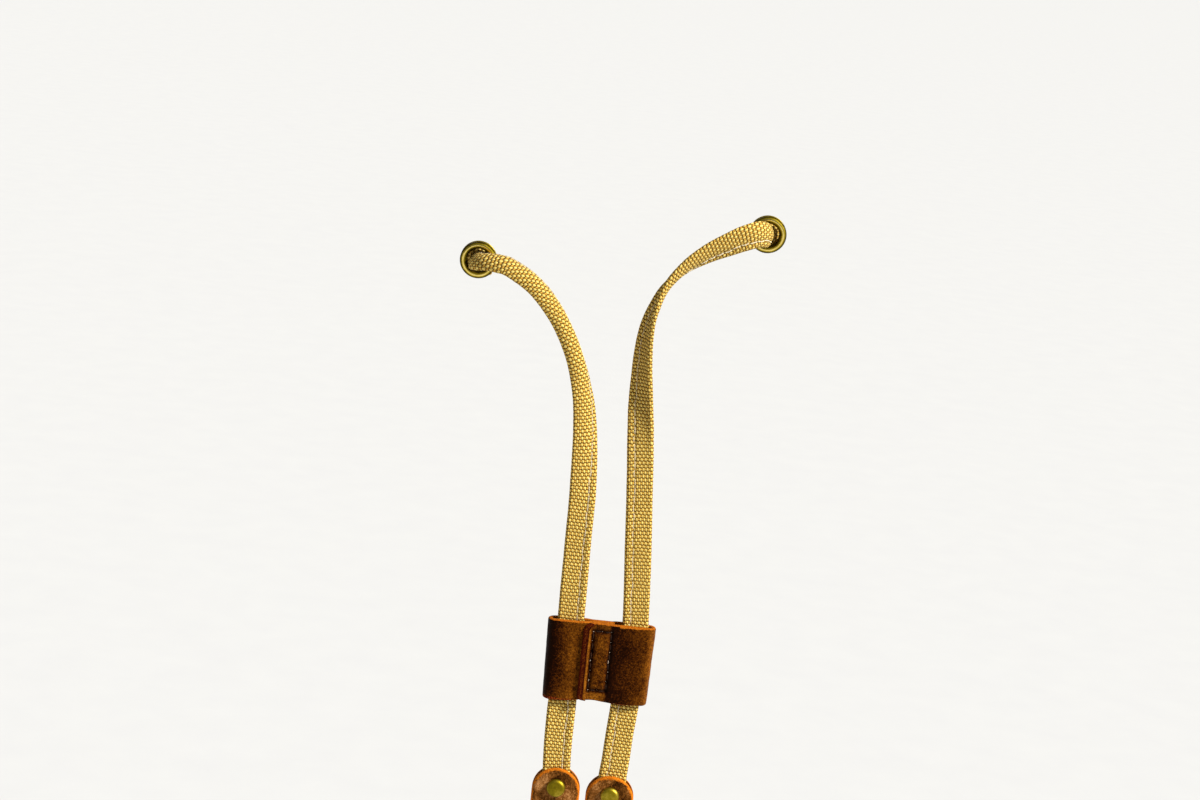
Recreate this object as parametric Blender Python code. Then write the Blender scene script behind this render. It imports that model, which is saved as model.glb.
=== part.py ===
"""Leather cord lock: a stitched leather slider on the two flat canvas ends of a bag's drawcord.

Metres, +Z up, the front faces -Y.  The origin lies midway between the two brass eyelets, on the
outside face of the fabric that they are set in.  The cords leave the eyelets, arch inwards, run
down side by side through the slider's two tunnels, and end in riveted leather tabs.
"""
import math

import bmesh
import bpy
from mathutils import Matrix, Vector

MM = 0.001
GAP = 0.3 * MM                       # air kept between neighbouring pieces

# Slider band: one leather strip wound round both cords and lapped over its own start
LEATHER = 2.0 * MM                   # thickness of the strip
SLIDER_CENTRE = Vector((8.0 * MM, -14.0 * MM, -181.5 * MM))
SLIDER_HALF_WIDTH = 23.8 * MM
SLIDER_HEIGHT = 35.6 * MM
TUNNEL_HEIGHT = 3.2 * MM             # clear height inside each tunnel
LAYER_GAP = 0.2 * MM                 # air between stacked layers of the strip
PINCH_LEFT = -4.2 * MM               # the seam pulls the layers together between these
PINCH_RIGHT = 4.6 * MM
LEFT_RAMP = 3.0 * MM                 # width over which the left tunnel opens
RIGHT_RAMP = 1.7 * MM                # and the right one
UNDER_END = 5.5 * MM                 # where the strip's hidden start ends
LAP_FALL = 0.7 * MM                  # the lap comes down to the tunnel this far past that start
LAP_SHIFT = 0.5 * MM                 # keeps the sloping lap clear of the sloping layer under it
LAP_RAMP = 2.8 * MM                  # width over which the lap rises to its flat tip
LAP_TOP_EDGE = -6.0 * MM             # outer arris of the lap's bevelled end
LAP_FOOT_EDGE = -8.1 * MM            # foot of that bevel
LAP_CORNER_TOP = 3.8 * MM
LAP_CORNER_BOTTOM = 2.2 * MM
TURN_STEPS = 8
CORNER_STEPS = 5
MITRE_LIMIT = 0.5                    # least cosine used where an offset line turns a corner

# Seam through all the layers: a rectangle of lockstitch
SEAM_LEFT = -3.8 * MM
SEAM_RIGHT = 4.2 * MM
SEAM_BOTTOM = -12.6 * MM
SEAM_TOP = 14.4 * MM
STITCHES_ACROSS = 2
STITCHES_DOWN = 6
NEEDLE_HOLE_R = 0.6 * MM
NEEDLE_HOLE_SIDES = 8
THREAD_R = 0.35 * MM
THREAD_LEG_R = 0.3 * MM              # the leg down a hole, pulled a little thinner
THREAD_SIDES = 6
LOCK_Y = -1.1 * MM                   # depth at which the two threads meet, from the cord plane

# Flat drawcord, folded canvas
CORD_WIDTH = 11.6 * MM
CORD_THICKNESS = 2.4 * MM
CORD_EDGE = 1.2 * MM                 # thickness left at the cord's rounded edges
CORD_CHAMFER = 1.0 * MM
CURLED_WIDTH = 8.0 * MM              # the cord curls to pass an eyelet
CURLED_THICKNESS = 3.6 * MM
SAMPLES_PER_SPAN = 2
# Route points from the eyelet to the tab: x, y, z in metres, the cord's turn about its own run
# in degrees from facing the front, and how far it is curled, 0 flat to 1 as in the eyelet
LEFT_ROUTE = (
    (-0.0614, 0.0040, -0.0119, -60, 0.8),
    (-0.0614, 0.0000, -0.0119, -60, 0.8),
    (-0.0613, -0.0042, -0.0117, -58, 0.8),
    (-0.0600, -0.0088, -0.0109, -56, 0.8),
    (-0.0567, -0.0124, -0.0101, -54, 0.8),
    (-0.0520, -0.0144, -0.0101, -52, 0.8),
    (-0.0465, -0.0152, -0.0112, -51, 0.8),
    (-0.0360, -0.0156, -0.0174, -50, 0.82),
    (-0.0274, -0.0156, -0.0261, -50, 0.88),
    (-0.0208, -0.0154, -0.0360, -50, 1.0),
    (-0.0150, -0.0150, -0.0480, -48, 0.94),
    (-0.0113, -0.0146, -0.0600, -42, 0.72),
    (-0.0090, -0.0143, -0.0714, -34, 0.52),
    (-0.0073, -0.0141, -0.0874, -21, 0.34),
    (-0.0063, -0.0140, -0.1078, -5, 0.1),
    (-0.0062, -0.0140, -0.1265, 0, 0.0),
    (-0.0060, -0.0140, -0.1463, 0, 0.0),
    (-0.0058, -0.0140, -0.1646, 0, 0.0),
    (-0.0057, -0.0140, -0.1819, 0, 0.0),
    (-0.0059, -0.0140, -0.1997, 0, 0.0),
    (-0.0060, -0.0140, -0.2133, 0, 0.0),
    (-0.0058, -0.0140, -0.2262, 0, 0.0),
    (-0.0053, -0.0140, -0.2349, 0, 0.0),
    (-0.0048, -0.0140, -0.2410, 0, 0.0),
    (-0.0045, -0.0140, -0.2534, 0, 0.0),
)
RIGHT_ROUTE = (
    (0.0614, 0.0040, 0.0119, 172, 0.6),
    (0.0614, 0.0000, 0.0119, 172, 0.6),
    (0.0613, -0.0042, 0.0122, 172, 0.6),
    (0.0599, -0.0086, 0.0130, 172, 0.5),
    (0.0567, -0.0122, 0.0132, 170, 0.4),
    (0.0525, -0.0144, 0.0119, 166, 0.25),
    (0.0472, -0.0154, 0.0095, 158, 0.12),
    (0.0359, -0.0160, 0.0032, 136, 0.0),
    (0.0267, -0.0162, -0.0041, 114, 0.0),
    (0.0197, -0.0160, -0.0130, 93, 0.0),
    (0.0162, -0.0157, -0.0222, 76, 0.0),
    (0.0142, -0.0153, -0.0315, 62, 0.0),
    (0.0136, -0.0149, -0.0418, 50, 0.0),
    (0.0139, -0.0146, -0.0525, 40, 0.0),
    (0.0149, -0.0143, -0.0673, 22, 0.0),
    (0.0168, -0.0141, -0.0874, 6, 0.0),
    (0.0185, -0.0140, -0.1077, 0, 0.0),
    (0.0200, -0.0140, -0.1265, 0, 0.0),
    (0.0215, -0.0140, -0.1463, 0, 0.0),
    (0.0226, -0.0140, -0.1646, 0, 0.0),
    (0.0227, -0.0140, -0.1819, 0, 0.0),
    (0.0217, -0.0140, -0.1999, 0, 0.0),
    (0.0208, -0.0140, -0.2136, 0, 0.0),
    (0.0203, -0.0140, -0.2253, 0, 0.0),
    (0.0197, -0.0140, -0.2345, 0, 0.0),
    (0.0193, -0.0140, -0.2423, 0, 0.0),
    (0.0190, -0.0140, -0.2546, 0, 0.0),
)

# End tabs: a leather strip folded up over each cord's end, held by one double-cap rivet
TAB_LEATHER = 1.8 * MM
TAB_WIDTH = 21.4 * MM
TAB_LENGTH = 40.0 * MM
TAB_INSIDE = CORD_THICKNESS + 2 * GAP
TAB_FOLD_STEPS = 10
TAB_TOP_STEPS = 16
RIVET_BELOW_TOP = 8.7 * MM
LEFT_RIVET = Vector((-4.8 * MM, SLIDER_CENTRE.y, -241.0 * MM))
RIGHT_RIVET = Vector((19.3 * MM, SLIDER_CENTRE.y, -242.3 * MM))
RIVET_CAP_R = 4.2 * MM
RIVET_CAP_RIM = 0.35 * MM
RIVET_CAP_RISE = 2.0 * MM
RIVET_POST_R = 1.7 * MM
RIVET_BORE_R = 1.0 * MM
RIVET_STUD_R = 0.7 * MM
RIVET_HOLE_R = RIVET_POST_R + GAP
RIVET_HOLE_SIDES = 12
RIVET_ROOT = 0.4 * MM                # solid end left between the cap's seat and the post's bore
RIVET_REACH = 0.5 * MM               # how far the stud stops short of the post's blind end
RIVET_DOME_STEPS = 6

# Eyelets: a rolled flange and barrel, set against a washer behind the fabric
LEFT_EYELET = Vector((-61.4 * MM, 0.0, -11.9 * MM))
RIGHT_EYELET = Vector((61.4 * MM, 0.0, 11.9 * MM))
EYELET_R = 8.0 * MM
EYELET_HOLE_R = 4.9 * MM
EYELET_WALL = 0.5 * MM
EYELET_CROWN = 1.8 * MM              # height of the rolled front ring
FABRIC = 2.1 * MM                    # thickness clamped between flange and washer
WASHER = 0.6 * MM
LIP_R = 6.4 * MM                     # the barrel's end, rolled over the washer
LIP = 0.6 * MM
EYELET_EDGE = 0.4 * MM              # rounding of the flange's and the lip's edges
CROWN_STEPS = 8
LATHE_STEPS = 24

# Folded and tacked stop that keeps each cord from pulling out through its eyelet
STOP_WIDTH = 12.4 * MM
STOP_HEIGHT = CORD_WIDTH
STOP_DEPTH = 3 * CORD_THICKNESS
STOP_ROUND = 2.6 * MM
STOP_FRONT_Y = 4.3 * MM
STOP_SAG = 1.6 * MM                  # the stop hangs this far below the eyelet's axis
STOP_ROUND_STEPS = 4

# Guides that cut the pieces
CUTTER_REACH = 9.0 * MM              # through everything in front of and behind the cord plane
CUTTER_MARGIN = 1.0 * MM             # how far a guide stands out past the edge that it trims
OUTLINE_FIT = 0.999                  # an outline guide is a hair narrower than the strip it trims
SMOOTH_ANGLE = 0.6                   # radians; edges sharper than this stay sharp


def clear_scene():
    for obj in list(bpy.data.objects):
        bpy.data.objects.remove(obj, do_unlink=True)


def material(name, colour, roughness, metallic=0.0):
    """A named Principled material."""
    mat = bpy.data.materials.new(name)
    mat.use_nodes = True
    shader = mat.node_tree.nodes["Principled BSDF"]
    shader.inputs["Base Color"].default_value = (*colour, 1.0)
    shader.inputs["Roughness"].default_value = roughness
    shader.inputs["Metallic"].default_value = metallic
    return mat


def object_from(name, bm, mat):
    """A named object from a bmesh, its faces turned outwards and its round sides smooth."""
    bmesh.ops.recalc_face_normals(bm, faces=bm.faces)
    mesh = bpy.data.meshes.new(name)
    bm.to_mesh(mesh)
    bm.free()
    mesh.materials.append(mat)
    mesh.shade_smooth()
    mesh.set_sharp_from_angle(angle=SMOOTH_ANGLE)
    obj = bpy.data.objects.new(name, mesh)
    bpy.context.scene.collection.objects.link(obj)
    return obj


def boolean(obj, cutter, operation):
    """Cut, join or intersect obj with a guide object, which stays hidden."""
    cutter.hide_render = True
    cutter.display_type = "WIRE"
    modifier = obj.modifiers.new(operation.title(), "BOOLEAN")
    modifier.operation = operation
    modifier.solver = "EXACT"
    modifier.object = cutter


def prism(outline, axis, low, high):
    """A bmesh prism: a closed 2-D outline pushed along axis "X", "Y" or "Z" from low to high."""
    places = {
        "X": lambda a, b, c: (c, a, b),
        "Y": lambda a, b, c: (a, c, b),
        "Z": lambda a, b, c: (a, b, c),
    }
    place = places[axis]
    bm = bmesh.new()
    rings = []
    for level in (low, high):
        rings.append([bm.verts.new(place(a, b, level)) for a, b in outline])
    bm.faces.new(rings[0])
    bm.faces.new(rings[1])
    count = len(outline)
    for i in range(count):
        j = (i + 1) % count
        bm.faces.new((rings[0][i], rings[0][j], rings[1][j], rings[1][i]))
    return bm


def pins(places, radius, low, high, sides, name, mat):
    """Round pins along Y at each (x, z) place, as one object used for holes or thread legs."""
    bm = bmesh.new()
    for x, z in places:
        turn = Matrix.Translation((x, (low + high) / 2, z)) @ Matrix.Rotation(math.pi / 2, 4, "X")
        bmesh.ops.create_cone(bm, cap_ends=True, segments=sides, radius1=radius, radius2=radius,
                              depth=high - low, matrix=turn)
    return object_from(name, bm, mat)


def arc(centre, radius, start_deg, end_deg, steps):
    """Points on a circle in 2-D, both ends included."""
    points = []
    for i in range(steps + 1):
        angle = math.radians(start_deg + (end_deg - start_deg) * i / steps)
        points.append((centre[0] + radius * math.cos(angle), centre[1] + radius * math.sin(angle)))
    return points


def lathe(name, profile, mat):
    """A solid turned about the Y axis from (radius, y) points; radius 0 closes on the axis."""
    bm = bmesh.new()
    rings = []
    for radius, y in profile:
        if radius == 0:
            rings.append([bm.verts.new((0, y, 0))])
            continue
        ring = []
        for i in range(LATHE_STEPS):
            angle = 2 * math.pi * i / LATHE_STEPS
            ring.append(bm.verts.new((radius * math.cos(angle), y, radius * math.sin(angle))))
        rings.append(ring)
    closed = profile[0][0] != 0
    spans = list(zip(rings, rings[1:]))
    if closed:
        spans.append((rings[-1], rings[0]))
    for a, b in spans:
        for i in range(LATHE_STEPS):
            j = (i + 1) % LATHE_STEPS
            corners = [a[i % len(a)], a[j % len(a)], b[j % len(b)], b[i % len(b)]]
            bm.faces.new(list(dict.fromkeys(corners)))
    return object_from(name, bm, mat)


# ---------------------------------------------------------------- slider

def band_centreline():
    """Middle line of the strip's thickness in (x, y), from its hidden start to its lap end."""
    tunnel = TUNNEL_HEIGHT / 2 + LEATHER / 2
    pinched = LAYER_GAP / 2 + LEATHER / 2
    lapped = pinched + LEATHER + LAYER_GAP
    lap_out = tunnel + LEATHER + LAYER_GAP
    turn_x = SLIDER_HALF_WIDTH - LEATHER / 2 - tunnel
    half_ramp = LEFT_RAMP / 2
    lap_fall = UNDER_END + LAP_FALL
    lap_rise = PINCH_LEFT + LAP_SHIFT
    points = [(PINCH_LEFT, -pinched), (PINCH_LEFT - half_ramp, -(pinched + tunnel) / 2),
              (PINCH_LEFT - LEFT_RAMP, -tunnel)]
    points += arc((-turn_x, 0), tunnel, 270, 90, TURN_STEPS)
    points += [(PINCH_LEFT - LEFT_RAMP, tunnel), (PINCH_LEFT, pinched), (PINCH_RIGHT, pinched),
               (PINCH_RIGHT + RIGHT_RAMP, tunnel)]
    points += arc((turn_x, 0), tunnel, 90, -90, TURN_STEPS)
    points += [(lap_fall + half_ramp, -tunnel), (lap_fall, -lapped), (lap_rise, -lapped),
               (lap_rise - half_ramp, -(lapped + lap_out) / 2), (lap_rise - LAP_RAMP, -lap_out)]
    return points


def offset_line(points, distance):
    """The line moved to the left of its run by distance, with mitred corners."""
    moved = []
    for i, point in enumerate(points):
        here = Vector(point)
        before = (here - Vector(points[i - 1])).normalized() if i > 0 else None
        after = (Vector(points[i + 1]) - here).normalized() if i + 1 < len(points) else None
        before = before or after
        after = after or before
        side = Vector((-before.y - after.y, before.x + after.x)).normalized()
        reach = distance / max(side.dot(Vector((-before.y, before.x))), MITRE_LIMIT)
        moved.append(tuple(here + side * reach))
    return moved


def band_outline():
    """Closed section of the wound strip: bevelled lap end, square hidden start."""
    line = band_centreline()
    inner = offset_line(line, -LEATHER / 2)
    outer = offset_line(line, LEATHER / 2)
    pinched = LAYER_GAP / 2
    start = [(UNDER_END, -pinched - LEATHER), (UNDER_END, -pinched)]
    foot = (LAP_FOOT_EDGE, inner[-1][1])
    arris = (LAP_TOP_EDGE, outer[-1][1])
    return start + inner[:-1] + [foot, arris] + list(reversed(outer[:-1]))


def lap_corner_cutter(mat):
    """What rounds the two corners of the lap's end, in front of the layer under it."""
    half = SLIDER_HEIGHT / 2
    far = LAP_FOOT_EDGE - CUTTER_MARGIN
    under = -(TUNNEL_HEIGHT / 2 + LEATHER + LAYER_GAP / 2)
    bm = bmesh.new()
    for sign, radius in ((1, LAP_CORNER_TOP), (-1, LAP_CORNER_BOTTOM)):
        reach = LAP_FOOT_EDGE + radius
        edge = arc((reach, sign * (half - radius)), radius, 180, 180 - sign * 90,
                   CORNER_STEPS)
        past = sign * (half + CUTTER_MARGIN)
        outline = edge + [(reach, past), (far, past), (far, sign * (half - radius))]
        piece = prism(outline, "Y", -CUTTER_REACH, under)
        mesh = bpy.data.meshes.new("lap_corner")
        piece.to_mesh(mesh)
        piece.free()
        bm.from_mesh(mesh)
        bpy.data.meshes.remove(mesh)
    return object_from("lap_corner_cutter", bm, mat)


def stitch_places():
    """The needle holes (x, z), in order round the seam rectangle."""
    places = []
    width = SEAM_RIGHT - SEAM_LEFT
    height = SEAM_TOP - SEAM_BOTTOM
    for i in range(STITCHES_ACROSS):
        places.append((SEAM_LEFT + width * i / STITCHES_ACROSS, SEAM_TOP))
    for i in range(STITCHES_DOWN):
        places.append((SEAM_RIGHT, SEAM_TOP - height * i / STITCHES_DOWN))
    for i in range(STITCHES_ACROSS):
        places.append((SEAM_RIGHT - width * i / STITCHES_ACROSS, SEAM_BOTTOM))
    for i in range(STITCHES_DOWN):
        places.append((SEAM_LEFT, SEAM_BOTTOM + height * i / STITCHES_DOWN))
    return places


def slider_band(mat):
    half = SLIDER_HEIGHT / 2
    band = object_from("slider_band", prism(band_outline(), "Z", -half, half), mat)
    holes = pins(stitch_places(), NEEDLE_HOLE_R, -CUTTER_REACH, CUTTER_REACH, NEEDLE_HOLE_SIDES,
                 "needle_hole_cutter", mat)
    corners = lap_corner_cutter(mat)
    boolean(band, holes, "DIFFERENCE")
    boolean(band, corners, "DIFFERENCE")
    for obj in (band, holes, corners):
        obj.location = SLIDER_CENTRE
    return band


def seam_thread(name, surface_y, lock_y, mat):
    """A thread round the seam on one side of the slider, with a leg down every needle hole."""
    places = stitch_places()
    count = len(places)
    bm = bmesh.new()
    rings = []
    for i, (x, z) in enumerate(places):
        before = Vector(places[i - 1])
        here = Vector((x, z))
        after = Vector(places[(i + 1) % count])
        along = ((here - before).normalized() + (after - here).normalized()).normalized()
        side = Vector((-along.y, along.x))
        mitre = 1 / max(abs(along.dot((after - here).normalized())), MITRE_LIMIT)
        ring = []
        for k in range(THREAD_SIDES):
            angle = 2 * math.pi * (k + 0.5) / THREAD_SIDES
            out = THREAD_R * math.cos(angle) * mitre
            ring.append(bm.verts.new((x + side.x * out, surface_y + THREAD_R * math.sin(angle),
                                      z + side.y * out)))
        rings.append(ring)
    for i in range(count):
        a = rings[i]
        b = rings[(i + 1) % count]
        for k in range(THREAD_SIDES):
            m = (k + 1) % THREAD_SIDES
            bm.faces.new((a[k], a[m], b[m], b[k]))
    thread = object_from(name, bm, mat)
    low, high = sorted((surface_y, lock_y))
    legs = pins(places, THREAD_LEG_R, low, high, THREAD_SIDES, name + "_legs", mat)
    boolean(thread, legs, "UNION")
    thread.location = SLIDER_CENTRE
    legs.location = SLIDER_CENTRE


# ---------------------------------------------------------------- cords

def catmull_rom(points, t, i):
    """A point on the smooth curve through points, t from 0 to 1 between points i and i + 1."""
    p0 = points[max(i - 1, 0)]
    p1 = points[i]
    p2 = points[i + 1]
    p3 = points[min(i + 2, len(points) - 1)]
    value = []
    for a, b, c, d in zip(p0, p1, p2, p3):
        value.append(0.5 * (2 * b + (c - a) * t + (2 * a - 5 * b + 4 * c - d) * t * t
                            + (3 * b - a - 3 * c + d) * t ** 3))
    return value


def cord_samples(route):
    """Points, turns and curls along a route, read from its smooth curve."""
    rows = []
    for i in range(len(route) - 1):
        for k in range(SAMPLES_PER_SPAN):
            rows.append(catmull_rom(route, k / SAMPLES_PER_SPAN, i))
    rows.append(list(route[-1]))
    points = [Vector(row[:3]) for row in rows]
    return points, [math.radians(row[3]) for row in rows], [row[4] for row in rows]


def cord_frames(points):
    """Tangent and untwisted front normal at each point, carried up from the tab end."""
    last = len(points) - 1
    tangents = []
    for i in range(last + 1):
        tangents.append((points[min(i + 1, last)] - points[max(i - 1, 0)]).normalized())
    normal = Vector((0, -1, 0))
    normals = [None] * (last + 1)
    for i in range(last, -1, -1):
        if i < last:
            normal = tangents[i + 1].rotation_difference(tangents[i]) @ normal
        normal = (normal - tangents[i] * normal.dot(tangents[i])).normalized()
        normals[i] = normal.copy()
    return tangents, normals


def cord_section(curl):
    """Half-outline of the cord's eight-cornered section as (across, through) pairs."""
    width = CORD_WIDTH + (CURLED_WIDTH - CORD_WIDTH) * curl
    thickness = CORD_THICKNESS + (CURLED_THICKNESS - CORD_THICKNESS) * curl
    w = width / 2
    t = thickness / 2
    edge = CORD_EDGE / 2
    chamfer = CORD_CHAMFER * (1 + curl)
    return ((w, -edge), (w, edge), (w - chamfer, t), (chamfer - w, t),
            (-w, edge), (-w, -edge), (chamfer - w, -t), (w - chamfer, -t))


def drawcord(name, route, rivet, mat):
    """A flat cord swept along its route, pierced for its rivet."""
    points, turns, curls = cord_samples(route)
    tangents, normals = cord_frames(points)
    bm = bmesh.new()
    rings = []
    for point, tangent, normal, turn, curl in zip(points, tangents, normals, turns, curls):
        face = Matrix.Rotation(turn, 3, tangent) @ normal
        across = tangent.cross(face)
        ring = []
        for a, b in cord_section(curl):
            ring.append(bm.verts.new(point + across * a + face * b))
        rings.append(ring)
    bm.faces.new(rings[0])
    bm.faces.new(rings[-1])
    sides = len(rings[0])
    for a, b in zip(rings, rings[1:]):
        for k in range(sides):
            m = (k + 1) % sides
            bm.faces.new((a[k], a[m], b[m], b[k]))
    cord = object_from(name, bm, mat)
    hole = pins([(rivet.x, rivet.z)], RIVET_HOLE_R, rivet.y - CUTTER_REACH, rivet.y + CUTTER_REACH,
                RIVET_HOLE_SIDES, name + "_hole_cutter", mat)
    boolean(cord, hole, "DIFFERENCE")


def cord_stop(name, eyelet, mat):
    """The cord's inner end, folded three times and tacked into a block behind the eyelet."""
    half_w = STOP_WIDTH / 2
    half_h = STOP_HEIGHT / 2
    outline = []
    for sx, sz, start in ((1, 1, 0), (-1, 1, 90), (-1, -1, 180), (1, -1, 270)):
        centre = (sx * (half_w - STOP_ROUND), sz * (half_h - STOP_ROUND))
        outline += arc(centre, STOP_ROUND, start, start + 90, STOP_ROUND_STEPS)
    bm = prism(outline, "Y", STOP_FRONT_Y, STOP_FRONT_Y + STOP_DEPTH)
    stop = object_from(name, bm, mat)
    stop.location = eyelet - Vector((0, 0, STOP_SAG))


# ---------------------------------------------------------------- tabs, rivets, eyelets

def end_tab(name, rivet, mat):
    """A folded leather strip: two leaves with half-round tops, joined by the fold below."""
    inner = TAB_INSIDE / 2
    outer = inner + TAB_LEATHER
    top = RIVET_BELOW_TOP
    fold_z = top - TAB_LENGTH + outer
    above = top + CUTTER_MARGIN
    below = top - TAB_LENGTH - CUTTER_MARGIN
    section = arc((0, fold_z), outer, 180, 360, TAB_FOLD_STEPS)
    section += [(outer, above), (inner, above)]
    section += arc((0, fold_z), inner, 360, 180, TAB_FOLD_STEPS)
    section += [(-inner, above), (-outer, above)]
    half = TAB_WIDTH / 2
    tab = object_from(name, prism(section, "X", -half, half), mat)
    shape = arc((0, top - half), half, 0, 180, TAB_TOP_STEPS)
    shape += [(-half, below), (half, below)]
    shape = [(x * OUTLINE_FIT, z) for x, z in shape]
    outline = prism(shape, "Y", -CUTTER_REACH, CUTTER_REACH)
    guide = object_from(name + "_outline_guide", outline, mat)
    hole = pins([(0, 0)], RIVET_HOLE_R, -CUTTER_REACH, CUTTER_REACH, RIVET_HOLE_SIDES,
                name + "_hole_cutter", mat)
    boolean(tab, guide, "INTERSECT")
    boolean(tab, hole, "DIFFERENCE")
    for obj in (tab, guide, hole):
        obj.location = rivet


def dome(sign, seat_y):
    """Profile of a rivet cap from its apex on the axis out to its rim, on the side of sign."""
    rise = RIVET_CAP_RISE - RIVET_CAP_RIM
    profile = []
    for i in range(RIVET_DOME_STEPS + 1):
        angle = math.pi / 2 * i / RIVET_DOME_STEPS
        profile.append((RIVET_CAP_R * math.sin(angle),
                        seat_y + sign * (RIVET_CAP_RIM + rise * math.cos(angle))))
    profile.append((RIVET_CAP_R, seat_y))
    return profile


def rivet_pair(side, rivet, mat):
    """The front cap with its hollow post, and the back cap with the stud that enters it."""
    seat = TAB_INSIDE / 2 + TAB_LEATHER + GAP
    blind = -seat + RIVET_ROOT
    cap = dome(-1, -seat)
    cap += [(RIVET_POST_R, -seat), (RIVET_POST_R, seat - GAP), (RIVET_BORE_R, seat - GAP),
            (RIVET_BORE_R, blind), (0, blind)]
    front = lathe(side + "_rivet_cap", cap, mat)
    stud = dome(1, seat)
    stud += [(RIVET_STUD_R, seat), (RIVET_STUD_R, blind + RIVET_REACH), (0, blind + RIVET_REACH)]
    back = lathe(side + "_rivet_stud", stud, mat)
    front.location = rivet
    back.location = rivet


def eyelet(side, centre, mat):
    """A rolled flange with its barrel, and the washer that the barrel's lip holds on."""
    barrel = EYELET_HOLE_R + EYELET_WALL
    crown_r = (EYELET_R + EYELET_HOLE_R) / 2
    half = (EYELET_R - EYELET_HOLE_R) / 2
    edge = EYELET_EDGE
    lip_back = FABRIC + WASHER + GAP + LIP
    profile = [(barrel, 0), (EYELET_R - edge, 0)]
    for i in range(CROWN_STEPS + 1):
        angle = math.pi * i / CROWN_STEPS
        profile.append((crown_r + half * math.cos(angle),
                        -edge - (EYELET_CROWN - edge) * math.sin(angle)))
    profile += [(EYELET_HOLE_R, lip_back - edge), (barrel, lip_back), (LIP_R - edge, lip_back),
                (LIP_R, lip_back - LIP / 2), (LIP_R - edge, lip_back - LIP),
                (barrel, lip_back - LIP)]
    flange = lathe(side + "_eyelet", profile, mat)
    flange.location = centre
    bore = barrel + GAP
    back = FABRIC + WASHER
    ring = [(bore, FABRIC), (EYELET_R, FABRIC), (EYELET_R, back), (bore, back)]
    washer = lathe(side + "_eyelet_washer", ring, mat)
    washer.location = centre


def main():
    clear_scene()
    leather = material("oiled_leather", (0.16, 0.065, 0.03), 0.45)
    tab_leather = material("tab_leather", (0.22, 0.09, 0.04), 0.5)
    thread = material("waxed_thread", (0.09, 0.05, 0.035), 0.6)
    canvas = material("sand_canvas", (0.62, 0.47, 0.24), 0.9)
    brass = material("antique_brass", (0.42, 0.33, 0.16), 0.38, metallic=1.0)

    slider_band(leather)
    stack_front = -(1.5 * LAYER_GAP + 2 * LEATHER)
    stack_back = LAYER_GAP / 2 + LEATHER
    seam_thread("needle_thread", stack_front - GAP - THREAD_R, LOCK_Y - GAP / 2, thread)
    seam_thread("bobbin_thread", stack_back + GAP + THREAD_R, LOCK_Y + GAP / 2, thread)

    for side, route, rivet, hole in (("left", LEFT_ROUTE, LEFT_RIVET, LEFT_EYELET),
                                     ("right", RIGHT_ROUTE, RIGHT_RIVET, RIGHT_EYELET)):
        drawcord(side + "_drawcord", route, rivet, canvas)
        cord_stop(side + "_cord_stop", hole, canvas)
        end_tab(side + "_tab", rivet, tab_leather)
        rivet_pair(side, rivet, brass)
        eyelet(side, hole, brass)


main()
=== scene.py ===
"""Looks for the leather cord lock: canvas drawcords, stitched leather slider, tabs and old brass.

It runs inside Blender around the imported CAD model, which stays where it is.  Metres, +Z up, the
front faces -Y.  Every new piece rides on a CAD body and stands in the space its CAD node holds.
"""
import math

import bpy
import numpy as np
from mathutils import Matrix, Vector, noise


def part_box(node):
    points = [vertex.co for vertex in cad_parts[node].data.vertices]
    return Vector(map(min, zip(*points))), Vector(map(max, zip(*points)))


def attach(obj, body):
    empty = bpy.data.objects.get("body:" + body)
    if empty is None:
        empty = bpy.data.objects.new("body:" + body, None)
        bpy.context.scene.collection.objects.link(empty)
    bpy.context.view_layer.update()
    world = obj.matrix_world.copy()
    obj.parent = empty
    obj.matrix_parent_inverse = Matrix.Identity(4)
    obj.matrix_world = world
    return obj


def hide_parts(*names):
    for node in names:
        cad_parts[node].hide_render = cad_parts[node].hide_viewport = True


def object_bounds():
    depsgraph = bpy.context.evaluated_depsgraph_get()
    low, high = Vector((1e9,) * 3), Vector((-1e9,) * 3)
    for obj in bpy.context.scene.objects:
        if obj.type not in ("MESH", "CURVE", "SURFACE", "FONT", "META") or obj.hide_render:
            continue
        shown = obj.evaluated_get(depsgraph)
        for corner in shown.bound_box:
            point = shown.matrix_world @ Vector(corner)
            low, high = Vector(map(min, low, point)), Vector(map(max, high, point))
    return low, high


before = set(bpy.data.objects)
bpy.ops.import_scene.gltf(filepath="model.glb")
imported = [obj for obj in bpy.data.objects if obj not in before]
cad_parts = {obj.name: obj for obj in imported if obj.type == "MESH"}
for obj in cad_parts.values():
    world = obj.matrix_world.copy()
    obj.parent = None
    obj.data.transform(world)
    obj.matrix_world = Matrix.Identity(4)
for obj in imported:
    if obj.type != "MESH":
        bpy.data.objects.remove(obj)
CAD_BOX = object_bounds()

MM = 0.001
FORWARDS = np.array([0.0, -1.0, 0.0])
BACKWARDS = np.array([0.0, 1.0, 0.0])

# Drawcord: a strip of canvas folded flat and sewn along one line
CORD_WIDTH = 11.6 * MM
CORD_THICKNESS = 2.4 * MM
CORD_SAMPLES = 22                    # rings between two route points
CORD_FACE_POINTS = 26
CORD_EDGE_POINTS = 7
FULL_CURL = math.radians(215)        # how far round the strip is rolled inside an eyelet
WARP_PITCH = 0.93 * MM
WEFT_PITCH = 1.5 * MM
WARP_COUNT = 28                      # warp threads round the folded strip
LEFT_SEAM = -2.55 * MM               # where the sewn line runs across each cord
RIGHT_SEAM = 2.3 * MM
CORD_STITCH = 3.85 * MM
STITCH_SHARE = 0.84                  # share of the pitch that a stitch covers
STITCH_DRIFTS = ((0.22 * MM, 1.7), (0.14 * MM, 0.6))   # how far stitches wander, and how fast
STITCH_SUNK = ((1, 0.22 * MM), (-1, 0.38 * MM))        # how deep they lie, in front and behind
CORD_THREAD_R = 0.27 * MM
SPREAD = 0.07                        # how much wider the cord lies flat below the slider
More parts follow.
